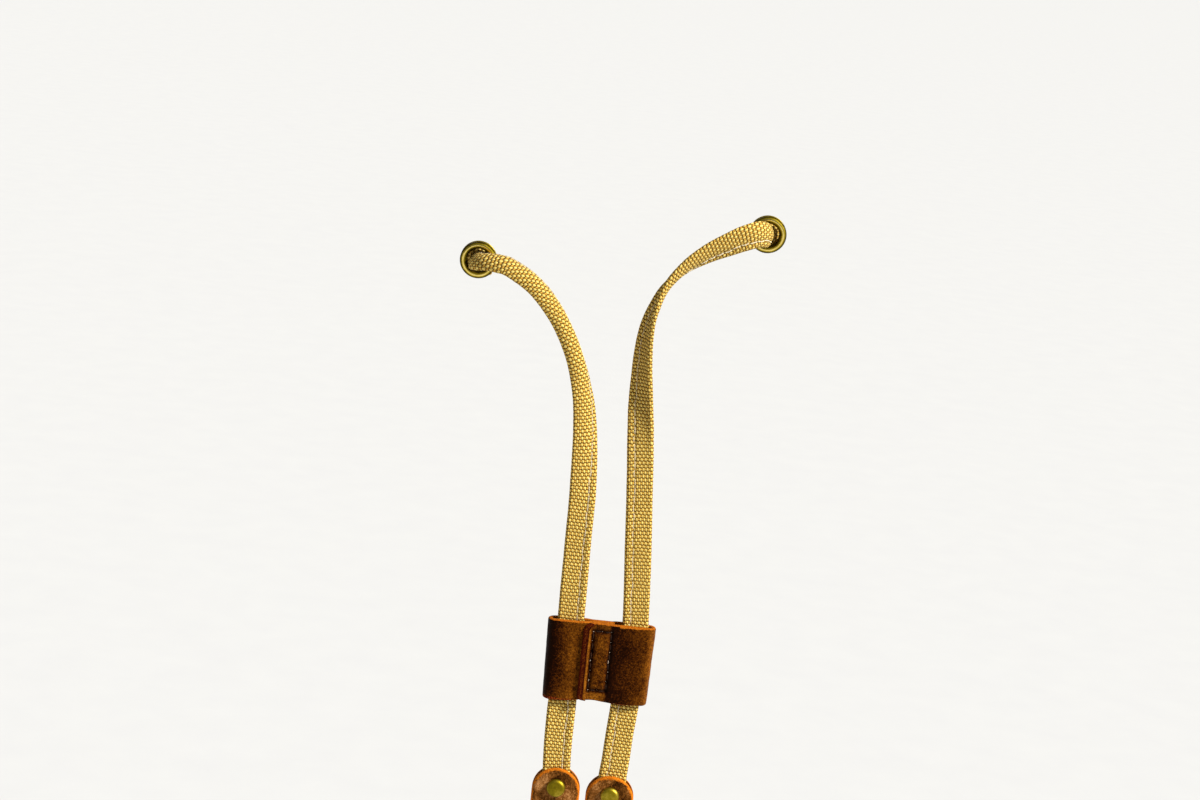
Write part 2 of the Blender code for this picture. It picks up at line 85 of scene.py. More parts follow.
SPREAD_START = 95 * MM               # distance from its end where it starts to spread
SPREAD_FULL = 70 * MM                # and where it is fully spread

# Relief of the folded cord: rises and depths outwards, places across it, and widths
RIM_RISE = 0.14 * MM
RIM_WIDTH = 1.0 * MM
ROLL_RISE = 0.20 * MM                # the fold beside the seam, on its narrow side
ROLL_FROM_SEAM = 1.7 * MM
ROLL_WIDTH = 1.2 * MM
GROOVE_DEPTH = 0.42 * MM
GROOVE_WIDTH = 0.60 * MM
LAYER_STEP = 0.30 * MM               # the cut edge turned under, on the back
STOP_THIN = 0.94                     # how the folded stop's layers are thinned and narrowed to fit
STOP_NARROW = 0.97
TACK_TURNS = 13                      # zigzags of each bar tack on a stop
TACK_REACH = 0.9 * MM
TACK_FROM_SIDE = 3.4 * MM
TACK_FROM_TOP = 1.6 * MM

# Route points from the eyelet to the tab: x, y, z in metres, the cord's turn about its own run
# in degrees from facing the front, and how far it is curled, 0 flat to 1 as in the eyelet
LEFT_ROUTE = (
    (-0.0614, 0.0040, -0.0119, -60, 0.8),
    (-0.0614, 0.0000, -0.0119, -60, 0.8),
    (-0.0613, -0.0042, -0.0117, -58, 0.8),
    (-0.0600, -0.0088, -0.0109, -56, 0.8),
    (-0.0567, -0.0124, -0.0101, -54, 0.8),
    (-0.0520, -0.0144, -0.0101, -52, 0.8),
    (-0.0465, -0.0152, -0.0112, -51, 0.8),
    (-0.0360, -0.0156, -0.0174, -50, 0.82),
    (-0.0274, -0.0156, -0.0261, -50, 0.88),
    (-0.0208, -0.0154, -0.0360, -50, 1.0),
    (-0.0150, -0.0150, -0.0480, -48, 0.94),
    (-0.0113, -0.0146, -0.0600, -42, 0.72),
    (-0.0090, -0.0143, -0.0714, -34, 0.52),
    (-0.0073, -0.0141, -0.0874, -21, 0.34),
    (-0.0063, -0.0140, -0.1078, -5, 0.1),
    (-0.0062, -0.0140, -0.1265, 0, 0.0),
    (-0.0060, -0.0140, -0.1463, 0, 0.0),
    (-0.0058, -0.0140, -0.1646, 0, 0.0),
    (-0.0057, -0.0140, -0.1819, 0, 0.0),
    (-0.0059, -0.0140, -0.1997, 0, 0.0),
    (-0.0060, -0.0140, -0.2133, 0, 0.0),
    (-0.0058, -0.0140, -0.2262, 0, 0.0),
    (-0.0053, -0.0140, -0.2349, 0, 0.0),
    (-0.0048, -0.0140, -0.2410, 0, 0.0),
    (-0.0045, -0.0140, -0.2534, 0, 0.0),
)
RIGHT_ROUTE = (
    (0.0614, 0.0040, 0.0119, 172, 0.6),
    (0.0614, 0.0000, 0.0119, 172, 0.6),
    (0.0613, -0.0042, 0.0122, 172, 0.6),
    (0.0599, -0.0086, 0.0130, 172, 0.5),
    (0.0567, -0.0122, 0.0132, 170, 0.4),
    (0.0525, -0.0144, 0.0119, 166, 0.25),
    (0.0472, -0.0154, 0.0095, 158, 0.18),
    (0.0359, -0.0160, 0.0032, 136, 0.28),
    (0.0267, -0.0162, -0.0041, 114, 0.40),
    (0.0197, -0.0160, -0.0130, 93, 0.44),
    (0.0162, -0.0157, -0.0222, 76, 0.42),
    (0.0142, -0.0153, -0.0315, 62, 0.36),
    (0.0136, -0.0149, -0.0418, 50, 0.28),
    (0.0139, -0.0146, -0.0525, 40, 0.18),
    (0.0149, -0.0143, -0.0673, 22, 0.06),
    (0.0168, -0.0141, -0.0874, 6, 0.0),
    (0.0185, -0.0140, -0.1077, 0, 0.0),
    (0.0200, -0.0140, -0.1265, 0, 0.0),
    (0.0215, -0.0140, -0.1463, 0, 0.0),
    (0.0226, -0.0140, -0.1646, 0, 0.0),
    (0.0227, -0.0140, -0.1819, 0, 0.0),
    (0.0217, -0.0140, -0.1999, 0, 0.0),
    (0.0208, -0.0140, -0.2136, 0, 0.0),
    (0.0203, -0.0140, -0.2253, 0, 0.0),
    (0.0197, -0.0140, -0.2345, 0, 0.0),
    (0.0193, -0.0140, -0.2423, 0, 0.0),
    (0.0190, -0.0140, -0.2546, 0, 0.0),
)

# Slider: a leather strip wound round both cords, lapped and sewn through with a rectangle
LEATHER = 2.0 * MM
TUNNEL_HALF = 1.6 * MM               # half the clear height inside each tunnel
LAYER_GAP = 0.2 * MM
PINCH_LEFT = -4.2 * MM               # the seam pulls the layers together between these
PINCH_RIGHT = 4.6 * MM
LEFT_RAMP = 3.0 * MM                 # width over which the left tunnel opens, and the right one
RIGHT_RAMP = 1.7 * MM
UNDER_END = 5.5 * MM                 # where the strip's hidden start ends
LAP_FALL = 0.7 * MM                  # the lap comes down to the tunnel this far past that start
LAP_SHIFT = 0.5 * MM                 # keeps the sloping lap clear of the sloping layer under it
LAP_RAMP = 2.8 * MM
LAP_LENGTH = 16.0 * MM               # run of the strip counted as the lap
LAP_EDGE = -7.9 * MM                 # foot of the lap's bevelled end
LAP_BEVEL = 2.5 * MM
LAP_DRIFT = 0.10 * MM                # the hand-cut end leans: right at the head, left at the foot
LAP_CORNERS = (3.8 * MM, 2.2 * MM)   # radius at the top and at the bottom
CORNER_TURN = 0.96                   # how much of each quarter turn is cut, short of its last fold
BAND_STEP = 0.5 * MM
BAND_ROWS = 68
CUT_RINGS = 4                        # rings of faces across the lap's cut end
HEAD_ROUND = 0.95 * MM               # how round the strip's edges are: head, foot, and inside
FOOT_ROUND = 0.6 * MM
INNER_ROUND = 0.4 * MM
SLIDER_TAPER = 0.035                 # how much narrower the slider is at its foot than at its head
HEAD_RISE = 0.35 * MM                # how far the head edge rises over the seam
FOOT_DROP = 1.1 * MM                 # the left of the foot hangs this much lower
SEAM_LEFT = -3.4 * MM
SEAM_RIGHT = 4.6 * MM
SEAM_BOTTOM = -12.6 * MM
SEAM_TOP = 14.4 * MM
STITCHES_ACROSS = 2
STITCHES_DOWN = 6
STITCH_WANDER = 0.12 * MM            # how far a leather stitch strays aside
STITCH_DIVE = 1.5 * MM               # how far its ends go down into the holes
STITCH_INSET = 0.09                  # share of the pitch left free at each hole
LOOP_LENGTH = 0.80 * MM
LOOP_LENGTH_VARIES = 0.55 * MM
LOOP_ASIDE = 0.22 * MM
SLIDER_THREAD_R = 0.34 * MM
NEEDLE_THREAD_R = 0.40 * MM
LOOP_THREAD_R = 0.20 * MM

# Tones of the strip: 0 dark and oily to 1 pulled pale, the foot edge's darkened with painted shade
BACK_TONE = 0.34
WORN_TONE = 0.80                     # the lap's border
HEAD_EDGE_TONE = 0.56
FOOT_EDGE_SHADE_TONE = 0.30
CUT_TONE = 0.10                      # the lap's cut end, from its rim
CUT_TONE_RISE = 0.26                 # and how much paler towards its middle
EDGE_SHOWS = 0.4                     # share of raw colour past which an edge takes its own tone
RAW_HEAD = 0.42 * MM                 # breadth of the head's raw rim,
RAW_HEAD_MORE = 0.45 * MM            # how much broader it is over the right cord,
RAW_HEAD_LAP = 0.40 * MM             # and its breadth on the lap

# Relief of the strip's outside: rises and depths, and widths
PUFF_RISE = 0.42 * MM                # inside the seam rectangle
CORDS_RISE = 0.30 * MM               # over each cord
CORDS_APART = 27 * MM
CORDS_WIDTH = 6.5 * MM
SEAM_SINK = 0.62 * MM
SEAM_SINK_WIDTH = 0.70 * MM
HOLE_SINK = 0.45 * MM
HOLE_SINK_WIDTH = 0.60 * MM

# End tabs: a leather strip folded up over each cord's end
TAB_LEATHER = 1.8 * MM
TAB_INSIDE = 3.0 * MM
TAB_BEVEL = 1.1 * MM
TAB_RIM = 1.8 * MM                   # how far in from the cut edge the raw colour fades out
TAB_SQUEEZE = 0.75 * MM              # how far the leaves close on each other towards the fold
TAB_CUP = 0.35 * MM
TAB_POINTS = 30                      # across each leaf

# Rivets and eyelets, brass
CAP_DOME = ((0.15, 1.0), (0.30, 0.99), (0.45, 0.97), (0.60, 0.93), (0.72, 0.87), (0.82, 0.77),
            (0.90, 0.64), (0.95, 0.50), (0.985, 0.33), (1.0, 0.16))   # share of radius and of rise
POST_RADIUS = 1.6 * MM
STUD_RADIUS = 0.7 * MM
EYELET_HOLE = 4.9 * MM               # radius
EYELET_WALL = 0.5 * MM
LIP_RADIUS = 6.4 * MM
LIP_ROUND = 0.3 * MM
WASHER_BORE = 5.7 * MM
WASHER_ROUND = 0.15 * MM
BROW = 0.45 * MM                     # height of the flange's edge under the rolled crown
LATHE_STEPS = 80

# Camera, placed from the slider's CAD box
CAMERA_FROM_SLIDER = Vector((-11.0, 0.0, 116.6)) * MM
CAMERA_DISTANCE = 1.1
CAMERA_ELEVATION = math.radians(12)
CAMERA_ROLL = math.radians(5.9)
CAMERA_LENS = 76.7
SENSOR_WIDTH = 36.0

# Colours, dark to light, as (position, colour): the faces and cut edges of the slider's strip and
# of the tabs, the tabs' palest a painted sheen; the canvas from painted shade in its holes to its
# floats' tops, brightest with a painted highlight; and the brass from dull to polished, its
# brightest also a painted highlight
BAND_FACE = ((0.0, (0.005, 0.0008, 0.0004)), (0.25, (0.030, 0.0055, 0.0006)),
             (0.50, (0.092, 0.025, 0.0015)), (0.75, (0.17, 0.053, 0.003)), (1.0, (0.34, 0.115, 0.009)))
BAND_CUT = ((0.0, (0.016, 0.001, 0.001)), (0.28, (0.120, 0.010, 0.004)), (0.58, (0.42, 0.112, 0.006)),
            (1.0, (0.66, 0.25, 0.020)))
TAB_FACE = ((0.10, (0.015, 0.003, 0.0005)), (0.32, (0.088, 0.029, 0.004)),
            (0.52, (0.22, 0.076, 0.013)), (0.85, (0.56, 0.27, 0.095)))
TAB_CUT = ((0.0, (0.11, 0.017, 0.002)), (0.40, (0.40, 0.085, 0.004)), (0.75, (0.70, 0.20, 0.010)),
           (1.0, (0.86, 0.40, 0.05)))
CANVAS_YARN_AND_SHADE = ((0.12, (0.016, 0.005, 0.0004)), (0.40, (0.30, 0.135, 0.010)),
               (0.61, (0.84, 0.47, 0.066)), (0.85, (1.0, 0.75, 0.21)))
BRASS_POLISH = ((0.05, (0.035, 0.020, 0.002)), (0.40, (0.25, 0.185, 0.008)),
                (0.75, (0.56, 0.41, 0.05)), (1.0, (0.90, 0.68, 0.20)))

# Stage: the floor, and the backdrop's light and the colour it shows the camera, the lit floor's
FLOOR_REACH = 60.0
FLOOR_DROP = 250 * MM                # far enough for the part's shadow to fall out of view
WORLD_LIGHT = (0.94, 0.96, 1.0, 1.0)
WORLD_STRENGTH = 0.16
WORLD_SEEN = (0.924, 0.916, 0.887, 1.0)


def centre_of(node):
    low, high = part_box(node)
    return (low + high) / 2


def size_of(node):
    low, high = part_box(node)
    return high - low


def radius_of(node):
    """Half the node's width in x."""
    low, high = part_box(node)
    return (high.x - low.x) / 2


def axis_of(node):
    """A place on the node's middle line along Y, at the eyelets' plane."""
    centre = centre_of(node)
    return Vector((centre.x, 0.0, centre.z))


def smooth_step(value, low, high):
    """0 below low, 1 above high and a smooth turn between, for numbers and arrays."""
    t = np.clip((value - low) / (high - low), 0.0, 1.0)
    return t * t * (3 - 2 * t)


def bell(distance, width):
    """1 at no distance, falling to about a third at the width, and soon to 0."""
    return np.exp(-(distance / width) ** 2)


def waves(points, grain, seed=0.0):
    """Smooth random values from -1 to 1 at 3-D points, with lumps about grain metres across."""
    shift = Vector((seed, seed, seed))
    return np.array([noise.noise(Vector(p) / grain + shift) for p in points])


def distances(points):
    """How far along the run each of its points lies."""
    steps = np.linalg.norm(np.diff(points, axis=0), axis=1)
    return np.concatenate(([0.0], np.cumsum(steps)))


def directions(points):
    """The run's direction at each of its points, of length 1."""
    tangents = np.gradient(points, axis=0)
    return tangents / np.linalg.norm(tangents, axis=1)[:, None]


# ---------------------------------------------------------------- materials

class Graph:
    """A new material, with short calls that add nodes and link them."""

    def __init__(self, name):
        self.material = bpy.data.materials.new(name)
        self.material.use_nodes = True
        self.tree = self.material.node_tree
        self.shader = self.tree.nodes["Principled BSDF"]

    def feed(self, socket, value):
        """Link an output to the socket, or set a plain value on it."""
        if isinstance(value, bpy.types.NodeSocket):
            self.tree.links.new(value, socket)
        else:
            socket.default_value = value

    def set(self, **values):
        """Set or link sockets of the shader, named with underscores for spaces."""
        for key, value in values.items():
            self.feed(self.shader.inputs[key.replace("_", " ")], value)

    def place(self, kind="Object"):
        return self.tree.nodes.new("ShaderNodeTexCoord").outputs[kind]

    def attribute(self, name):
        node = self.tree.nodes.new("ShaderNodeAttribute")
        node.attribute_name = name
        return node.outputs["Fac"]

    def calc(self, operation, *values):
        node = self.tree.nodes.new("ShaderNodeMath")
        node.operation = operation
        for socket, value in zip(node.inputs, values):
            self.feed(socket, value)
        return node.outputs[0]

    def vary(self, value, amount, base):
        """base, moved by amount times what the value from 0 to 1 differs from a half."""
        return self.calc("MULTIPLY_ADD", self.calc("SUBTRACT", value, 0.5), amount, base)

    def split(self, vector):
        node = self.tree.nodes.new("ShaderNodeSeparateXYZ")
        self.feed(node.inputs[0], vector)
        return node.outputs["X"], node.outputs["Y"]

    def join(self, x, y):
        node = self.tree.nodes.new("ShaderNodeCombineXYZ")
        self.feed(node.inputs["X"], x)
        self.feed(node.inputs["Y"], y)
        return node.outputs[0]

    def stretch(self, vector, scale):
        node = self.tree.nodes.new("ShaderNodeMapping")
        self.feed(node.inputs["Vector"], vector)
        node.inputs["Scale"].default_value = scale
        return node.outputs[0]

    def noise(self, vector, grain, detail=3.0, roughness=0.55):
        """Noise from 0 to 1 with lumps about grain metres across."""
        node = self.tree.nodes.new("ShaderNodeTexNoise")
        self.feed(node.inputs["Vector"], vector)
        node.inputs["Scale"].default_value = 1 / grain
        node.inputs["Detail"].default_value = detail
        node.inputs["Roughness"].default_value = roughness
        return node.outputs["Fac"]

    def cells(self, vector, grain):
        """Distance to the nearest of many scattered points, about grain metres apart."""
        node = self.tree.nodes.new("ShaderNodeTexVoronoi")
        self.feed(node.inputs["Vector"], vector)
        node.inputs["Scale"].default_value = 1 / grain
        return node.outputs["Distance"]

    def random(self, vector):
        """One random value from 0 to 1 for each whole vector."""
        node = self.tree.nodes.new("ShaderNodeTexWhiteNoise")
        node.noise_dimensions = "2D"
        self.feed(node.inputs["Vector"], vector)
        return node.outputs["Value"]

    def ramp(self, value, *stops):
        """A colour from (position, colour) stops."""
        node = self.tree.nodes.new("ShaderNodeValToRGB")
        elements = node.color_ramp.elements
        while len(elements) < len(stops):
            elements.new(1.0)
        for element, (position, colour) in zip(elements, stops):
            element.position = position
            element.color = (*colour, 1.0)
        self.feed(node.inputs[0], value)
        return node.outputs["Color"]

    def range(self, value, low, high, to_low=0.0, to_high=1.0):
        node = self.tree.nodes.new("ShaderNodeMapRange")
        node.interpolation_type = "SMOOTHSTEP"
        for socket, number in zip(node.inputs, (value, low, high, to_low, to_high)):
            self.feed(socket, number)
        return node.outputs[0]

    def mix(self, factor, a, b):
        node = self.tree.nodes.new("ShaderNodeMix")
        node.data_type = "RGBA"
        colours = [s for s in node.inputs if s.type == "RGBA"]
        self.feed(node.inputs[0], factor)
        self.feed(colours[0], a)
        self.feed(colours[1], b)
        return [s for s in node.outputs if s.type == "RGBA"][0]

    def bump(self, height, distance):
        node = self.tree.nodes.new("ShaderNodeBump")
        node.inputs["Strength"].default_value = 1.0
        node.inputs["Distance"].default_value = distance
        self.feed(node.inputs["Height"], height)
        self.feed(self.shader.inputs["Normal"], node.outputs[0])


def canvas():
    """Undyed plain-weave canvas: fat round floats with dark gaps of painted shade, drawn along the UVs
    in metres.
    """
    g = Graph("sand_canvas")
    x, y = g.split(g.place("UV"))
    sway = g.calc("MULTIPLY_ADD", g.noise(g.place(), 6 * MM), 0.7, -0.35)
    drift = g.calc("MULTIPLY_ADD", g.noise(g.place(), 9 * MM, 2.0), 0.9, -0.45)
    across = g.calc("MULTIPLY_ADD", x, 1 / WARP_PITCH, sway)
    along = g.calc("MULTIPLY_ADD", y, 1 / WEFT_PITCH, drift)
    warp = g.calc("FLOOR", across)
    weft = g.calc("FLOOR", along)
    odd = g.calc("PINGPONG", g.calc("ADD", warp, weft), 1.0)
    from_warp = g.calc("MULTIPLY_ADD", g.calc("FRACT", across), 2.0, -1.0)
    from_weft = g.calc("MULTIPLY_ADD", g.calc("FRACT", along), 2.0, -1.0)
    # each cell shows one float: a fat dome, slanted by the yarn's twist, that falls a little
    # towards its sides and far into the holes at its corners
    slant = g.calc("MULTIPLY_ADD", from_weft, 0.35, from_warp)
    across_fall = g.calc("MULTIPLY", slant, slant)
    along_fall = g.calc("MULTIPLY", from_weft, from_weft)
    side_fall = g.calc("MULTIPLY_ADD", along_fall, 0.40, g.calc("MULTIPLY", across_fall, 0.20))
    corner_fall = g.calc("MULTIPLY", g.calc("MULTIPLY", across_fall, along_fall), 0.35)
    dome = g.calc("SUBTRACT", 1.0, g.calc("ADD", side_fall, corner_fall))
    height = g.calc("SUBTRACT", dome, g.calc("MULTIPLY", odd, 0.46))
    twist = g.calc("SINE", g.calc("MULTIPLY", g.calc("ADD", from_warp, from_weft), 7.0))
    fibre = g.noise(g.place(), 0.22 * MM, 2.0)
    height = g.calc("MULTIPLY_ADD", twist, 0.035, height)
    height = g.calc("MULTIPLY_ADD", fibre, 0.16, height)

    # the colour follows the relief: painted shade darkens the holes and the sunk floats, and a painted
    # highlight brightens the float tops
    colour = g.ramp(height, *CANVAS_YARN_AND_SHADE)
    slub = g.random(g.join(warp, weft))
    stain = g.noise(g.place(), 22 * MM, 3.0)
    seam_shade = g.attribute("seam_shade")
    colour = g.mix(g.calc("MULTIPLY", slub, 0.28), colour, (0.34, 0.185, 0.030, 1.0))
    colour = g.mix(g.range(stain, 0.42, 0.72, 0.0, 0.22), colour, (0.48, 0.28, 0.050, 1.0))
    # painted shade along the sewn groove
    colour = g.mix(g.calc("MULTIPLY", seam_shade, 0.32), colour, (0.20, 0.105, 0.018, 1.0))
    g.set(Base_Color=colour, Roughness=0.92, Sheen_Weight=0.04, Specular_IOR_Level=0.04)
    g.bump(height, 1.1 * MM)
    return g.material


def leather(name, tones, raws, gloss, clouds, specks, flecks):
    """Oiled pull-up leather.  The attribute tone (0 to 1) says how far the oil has been pulled
    away, with painted shade, painted light and a painted sheen added in places, and picks from
    tones; raw (0 to 1) turns it to the fibrous cut edge, picked from raws.
    clouds, specks and flecks say how strongly the tone varies, from the broad to the fine."""
    g = Graph(name)
    place = g.place()
    tone = g.attribute("tone")
    raw = g.attribute("raw")
    cloud = g.noise(place, 7 * MM, 5.0, 0.6)
    speck = g.noise(place, 0.95 * MM, 6.0, 0.75)
    dust = g.noise(place, 0.35 * MM, 2.0)
    scuff = g.noise(g.stretch(place, (1.0, 1.0, 0.22)), 1.5 * MM, 4.0, 0.7)
    pull = tone
    for grain, amount in ((cloud, clouds), (speck, specks), (scuff, 0.40), (dust, flecks)):
        pull = g.vary(grain, amount, pull)
    colour = g.ramp(pull, *tones)
    fibre = g.noise(place, 0.5 * MM, 4.0, 0.7)
    cut = g.ramp(g.vary(fibre, 1.50, tone), *raws)
    edge = g.range(g.vary(speck, 2.1, raw), 0.40, 0.62)
    colour = g.mix(edge, colour, cut)
    pore = g.cells(place, 0.9 * MM)
    relief = g.calc("MULTIPLY_ADD", g.calc("MINIMUM", pore, 0.55), 0.55, g.calc("MULTIPLY", dust, 0.30))
    relief = g.calc("MULTIPLY_ADD", scuff, 0.35, relief)
    relief = g.calc("MULTIPLY_ADD", g.calc("MULTIPLY", fibre, edge), 1.6, relief)
    rough = g.range(cloud, 0.3, 0.7, gloss - 0.07, gloss + 0.12)
    g.set(Base_Color=colour, Roughness=g.calc("MULTIPLY_ADD", edge, 0.32, rough),
          Specular_IOR_Level=0.06, Specular_Tint=(1.0, 0.50, 0.20, 1.0))
    g.bump(relief, 0.16 * MM)
    return g.material


def old_brass():
    """Antique brass: yellow where hands have rubbed it bright and where a highlight is painted,
    olive-brown in the hollows.
    """
    g = Graph("antique_brass")
    place = g.place()
    cloud = g.noise(place, 3.5 * MM, 4.0, 0.6)
    fleck = g.noise(place, 0.5 * MM, 3.0, 0.7)
    polish_and_highlight = g.attribute("polish_and_highlight")
    amount = g.vary(fleck, 0.35, g.vary(cloud, 0.7, polish_and_highlight))
    colour = g.ramp(amount, *BRASS_POLISH)
    g.set(Base_Color=colour, Metallic=1.0, Roughness=g.range(amount, 0.3, 0.9, 0.58, 0.24))
    scratch = g.noise(g.stretch(place, (1.0, 1.0, 0.12)), 0.5 * MM, 3.0)
    g.bump(g.calc("ADD", g.calc("MULTIPLY", scratch, 0.3), g.calc("MULTIPLY", fleck, 0.5)), 0.05 * MM)
    return g.material


def thread_material(name, dark, light):
    """Sewing thread, darker on one side of each ply as a painted shade for where the strands press
    together, with a dry fibrous surface.
    """
    g = Graph(name)
    x, _ = g.split(g.place("UV"))
    fibre = g.noise(g.place(), 0.25 * MM, 3.0)
    ridge = g.calc("MULTIPLY_ADD", g.calc("SINE", g.calc("MULTIPLY", x, 2 * math.pi)), 0.25, fibre)
    colour = g.mix(g.range(ridge, 0.2, 0.8), (*dark, 1.0), (*light, 1.0))
    g.set(Base_Color=colour, Roughness=0.75, Specular_IOR_Level=0.10)
    g.bump(fibre, 0.05 * MM)
    return g.material


# ---------------------------------------------------------------- mesh helpers

def piece(name, points, faces, mat, attributes=None, corner_uv=None, sharp_angle=1.0):
    """A new smooth mesh object, with point attributes and a UV for every face corner."""
    mesh = bpy.data.meshes.new(name)
    mesh.from_pydata([tuple(p) for p in points], [], faces)
    mesh.materials.append(mat)
    for key, values in (attributes or {}).items():
        layer = mesh.attributes.new(key, "FLOAT", "POINT")
        layer.data.foreach_set("value", np.asarray(values, dtype=np.float32))
    if corner_uv is not None:
        layer = mesh.uv_layers.new(name="UVMap")
        layer.data.foreach_set("uv", np.asarray(corner_uv, dtype=np.float32).ravel())
    mesh.shade_smooth()
    mesh.set_sharp_from_angle(angle=sharp_angle)
    obj = bpy.data.objects.new(name, mesh)
    bpy.context.scene.collection.objects.link(obj)
    return obj


def tube_faces(rings, sides, start=0):
    """Quads round a tube of rings, with a face over each end; start is its first point."""
    faces = []
    for i in range(rings - 1):
        for k in range(sides):
            m = (k + 1) % sides
            a = start + i * sides
            b = a + sides
            faces.append((a + k, a + m, b + m, b + k))
    last = start + (rings - 1) * sides
    faces.append(tuple(range(start + sides - 1, start - 1, -1)))
    faces.append(tuple(range(last, last + sides)))
    return faces


def tube_uv(along, around):
    """Corner UVs for tube_faces: around has one more value than the tube has sides."""
    sides = len(around) - 1
    corners = []
    for i in range(len(along) - 1):
        for k in range(sides):
            corners += [(around[k], along[i]), (around[k + 1], along[i]),
                        (around[k + 1], along[i + 1]), (around[k], along[i + 1])]
    corners += [(around[k], along[0]) for k in range(sides - 1, -1, -1)]
    corners += [(around[k], along[-1]) for k in range(sides)]
    return corners


def lathe(name, centre, profile, mat):
    """A solid turned about the Y axis through centre from (radius, y, polish_and_highlight) points:
    radius 0 is on the axis, and polish_and_highlight is the share of bright metal there, from
    rubbing and from painted highlights."""
    points = []
    rings = []
    shine = []
    for radius, y, polish_and_highlight in profile:
        ring = []
        for i in range(1 if radius == 0 else LATHE_STEPS):
            angle = 2 * math.pi * i / LATHE_STEPS
            ring.append(len(points))
            points.append(centre + Vector((radius * math.cos(angle), y, radius * math.sin(angle))))
            shine.append(polish_and_highlight)
        rings.append(ring)
    spans = list(zip(rings, rings[1:]))
    if profile[0][0] != 0:
        spans.append((rings[-1], rings[0]))
    faces = []
    for a, b in spans:
        for i in range(LATHE_STEPS):
            j = (i + 1) % LATHE_STEPS
            corners = (a[i % len(a)], a[j % len(a)], b[j % len(b)], b[i % len(b)])
            faces.append(tuple(dict.fromkeys(corners)))
    return piece(name, points, faces, mat, {"polish_and_highlight": shine}, sharp_angle=0.9)


def turned(centre, radii, start_deg, end_deg, steps):
    """Points on an ellipse in 2-D from one angle to another, both ends included."""
    points = []
    for i in range(steps + 1):
        angle = math.radians(start_deg + (end_deg - start_deg) * i / steps)
        points.append((centre[0] + radii[0] * math.cos(angle), centre[1] + radii[1] * math.sin(angle)))
    return points


def twisted_thread(name, runs, radius, mat, plies=2, sides=6, lay=5.0):
    """Lengths of plied thread.  Each run is its points and the direction or directions outward;
    the plies wind round it once in every lay radii."""
    points = []
    faces = []
    corners = []
    ply_r = radius * 0.56
    for line, outward in runs:
        tangents = directions(line)
        outs = outward - tangents * np.sum(outward * tangents, axis=1)[:, None]
        outs /= np.linalg.norm(outs, axis=1)[:, None]
        sides_on = np.cross(tangents, outs)
        length = distances(line)
        wind = 2 * math.pi * length / (lay * radius)
        for ply in range(plies):
            phase = wind + 2 * math.pi * ply / plies
            middle = line + (outs * np.cos(phase)[:, None] + sides_on * np.sin(phase)[:, None]) * (
                radius - ply_r)
            start = len(points)
            for i in range(len(line)):
                for k in range(sides):
                    angle = 2 * math.pi * k / sides
                    points.append(middle[i] + (outs[i] * math.cos(angle)
                                               + sides_on[i] * math.sin(angle)) * ply_r)
            faces += tube_faces(len(line), sides, start)
            corners += tube_uv(length / radius, np.linspace(0, 1, sides + 1))
    return piece(name, points, faces, mat, corner_uv=corners)


# ---------------------------------------------------------------- cords

def catmull_rom(rows, samples):
    """Rows read densely from the smooth curve through them."""
    rows = np.asarray(rows, dtype=float)
    last = len(rows) - 1
    result = []
    for i in range(last):
        p0, p1, p2, p3 = rows[max(i - 1, 0)], rows[i], rows[i + 1], rows[min(i + 2, last)]
        for k in range(samples):
            t = k / samples
            result.append(0.5 * (2 * p1 + (p2 - p0) * t + (2 * p0 - 5 * p1 + 4 * p2 - p3) * t * t
                                 + (3 * p1 - p0 - 3 * p2 + p3) * t ** 3))
    result.append(rows[-1])
    return np.array(result)


class Ribbon:
    """A flat cord's run, with its frame and curl at every sample.  The curl makes its face
    convex where bulge is 1 and hollow where it is -1."""

    def __init__(self, route, bulge):
        rows = catmull_rom(route, CORD_SAMPLES)
        self.bulge = bulge
        self.centre = rows[:, :3]
        self.curl = np.clip(rows[:, 4], 0.0, 1.0) * FULL_CURL
        self.along = distances(self.centre)
        self.length = self.along[-1]
        tangents = [Vector(t).normalized() for t in np.gradient(self.centre, axis=0)]
        normal = Vector((0, -1, 0))
        faces = [None] * len(rows)
        sides = [None] * len(rows)
        for i in range(len(rows) - 1, -1, -1):
            if i + 1 < len(rows):
                normal = tangents[i + 1].rotation_difference(tangents[i]) @ normal
            normal = (normal - tangents[i] * normal.dot(tangents[i])).normalized()
            face = Matrix.Rotation(math.radians(rows[i, 3]), 3, tangents[i]) @ normal
            faces[i] = face
            sides[i] = tangents[i].cross(face)
        self.face = np.array(faces)
        self.side = np.array(sides)

    def at(self, values, s):
        """values, one row a sample, read at distances s along the cord."""
        values = np.asarray(values)
        if values.ndim == 1:
            return np.interp(s, self.along, values)
        return np.stack([np.interp(s, self.along, values[:, k]) for k in range(3)], axis=-1)

    def point(self, s, across, through):
        """Places at distances s along, across and through the cord, its curl included."""
        curl = np.maximum(self.at(self.curl, s), 1e-4)
        from_end = self.length - np.asarray(s)
        across = across * (1 + SPREAD * (1 - smooth_step(from_end, SPREAD_FULL, SPREAD_START)))
        bend_r = CORD_WIDTH / curl
        angle = across / bend_r
        radius = bend_r + self.bulge * through
        sink = bend_r * (1 - np.cos(curl / 2)) / 2
        wide = radius * np.sin(angle)
        deep = self.bulge * (radius * np.cos(angle) - bend_r + sink)
        return (self.at(self.centre, s) + self.at(self.side, s) * wide[..., None]
                + self.at(self.face, s) * deep[..., None])


def cord_section():
    """Across and through of the folded strip's outline, once round from the front's left."""
    half = CORD_WIDTH / 2
    thick = CORD_THICKNESS / 2
    flat = half - thick
    front = [(a, thick) for a in np.linspace(-flat, flat, CORD_FACE_POINTS)]
    right = [(flat + thick * math.cos(t), thick * math.sin(t))
             for t in np.linspace(math.pi / 2, -math.pi / 2, CORD_EDGE_POINTS + 2)[1:-1]]
    back = [(-a, -b) for a, b in front]
    left = [(-a, -b) for a, b in right]
    return np.array(front + right + back + left)


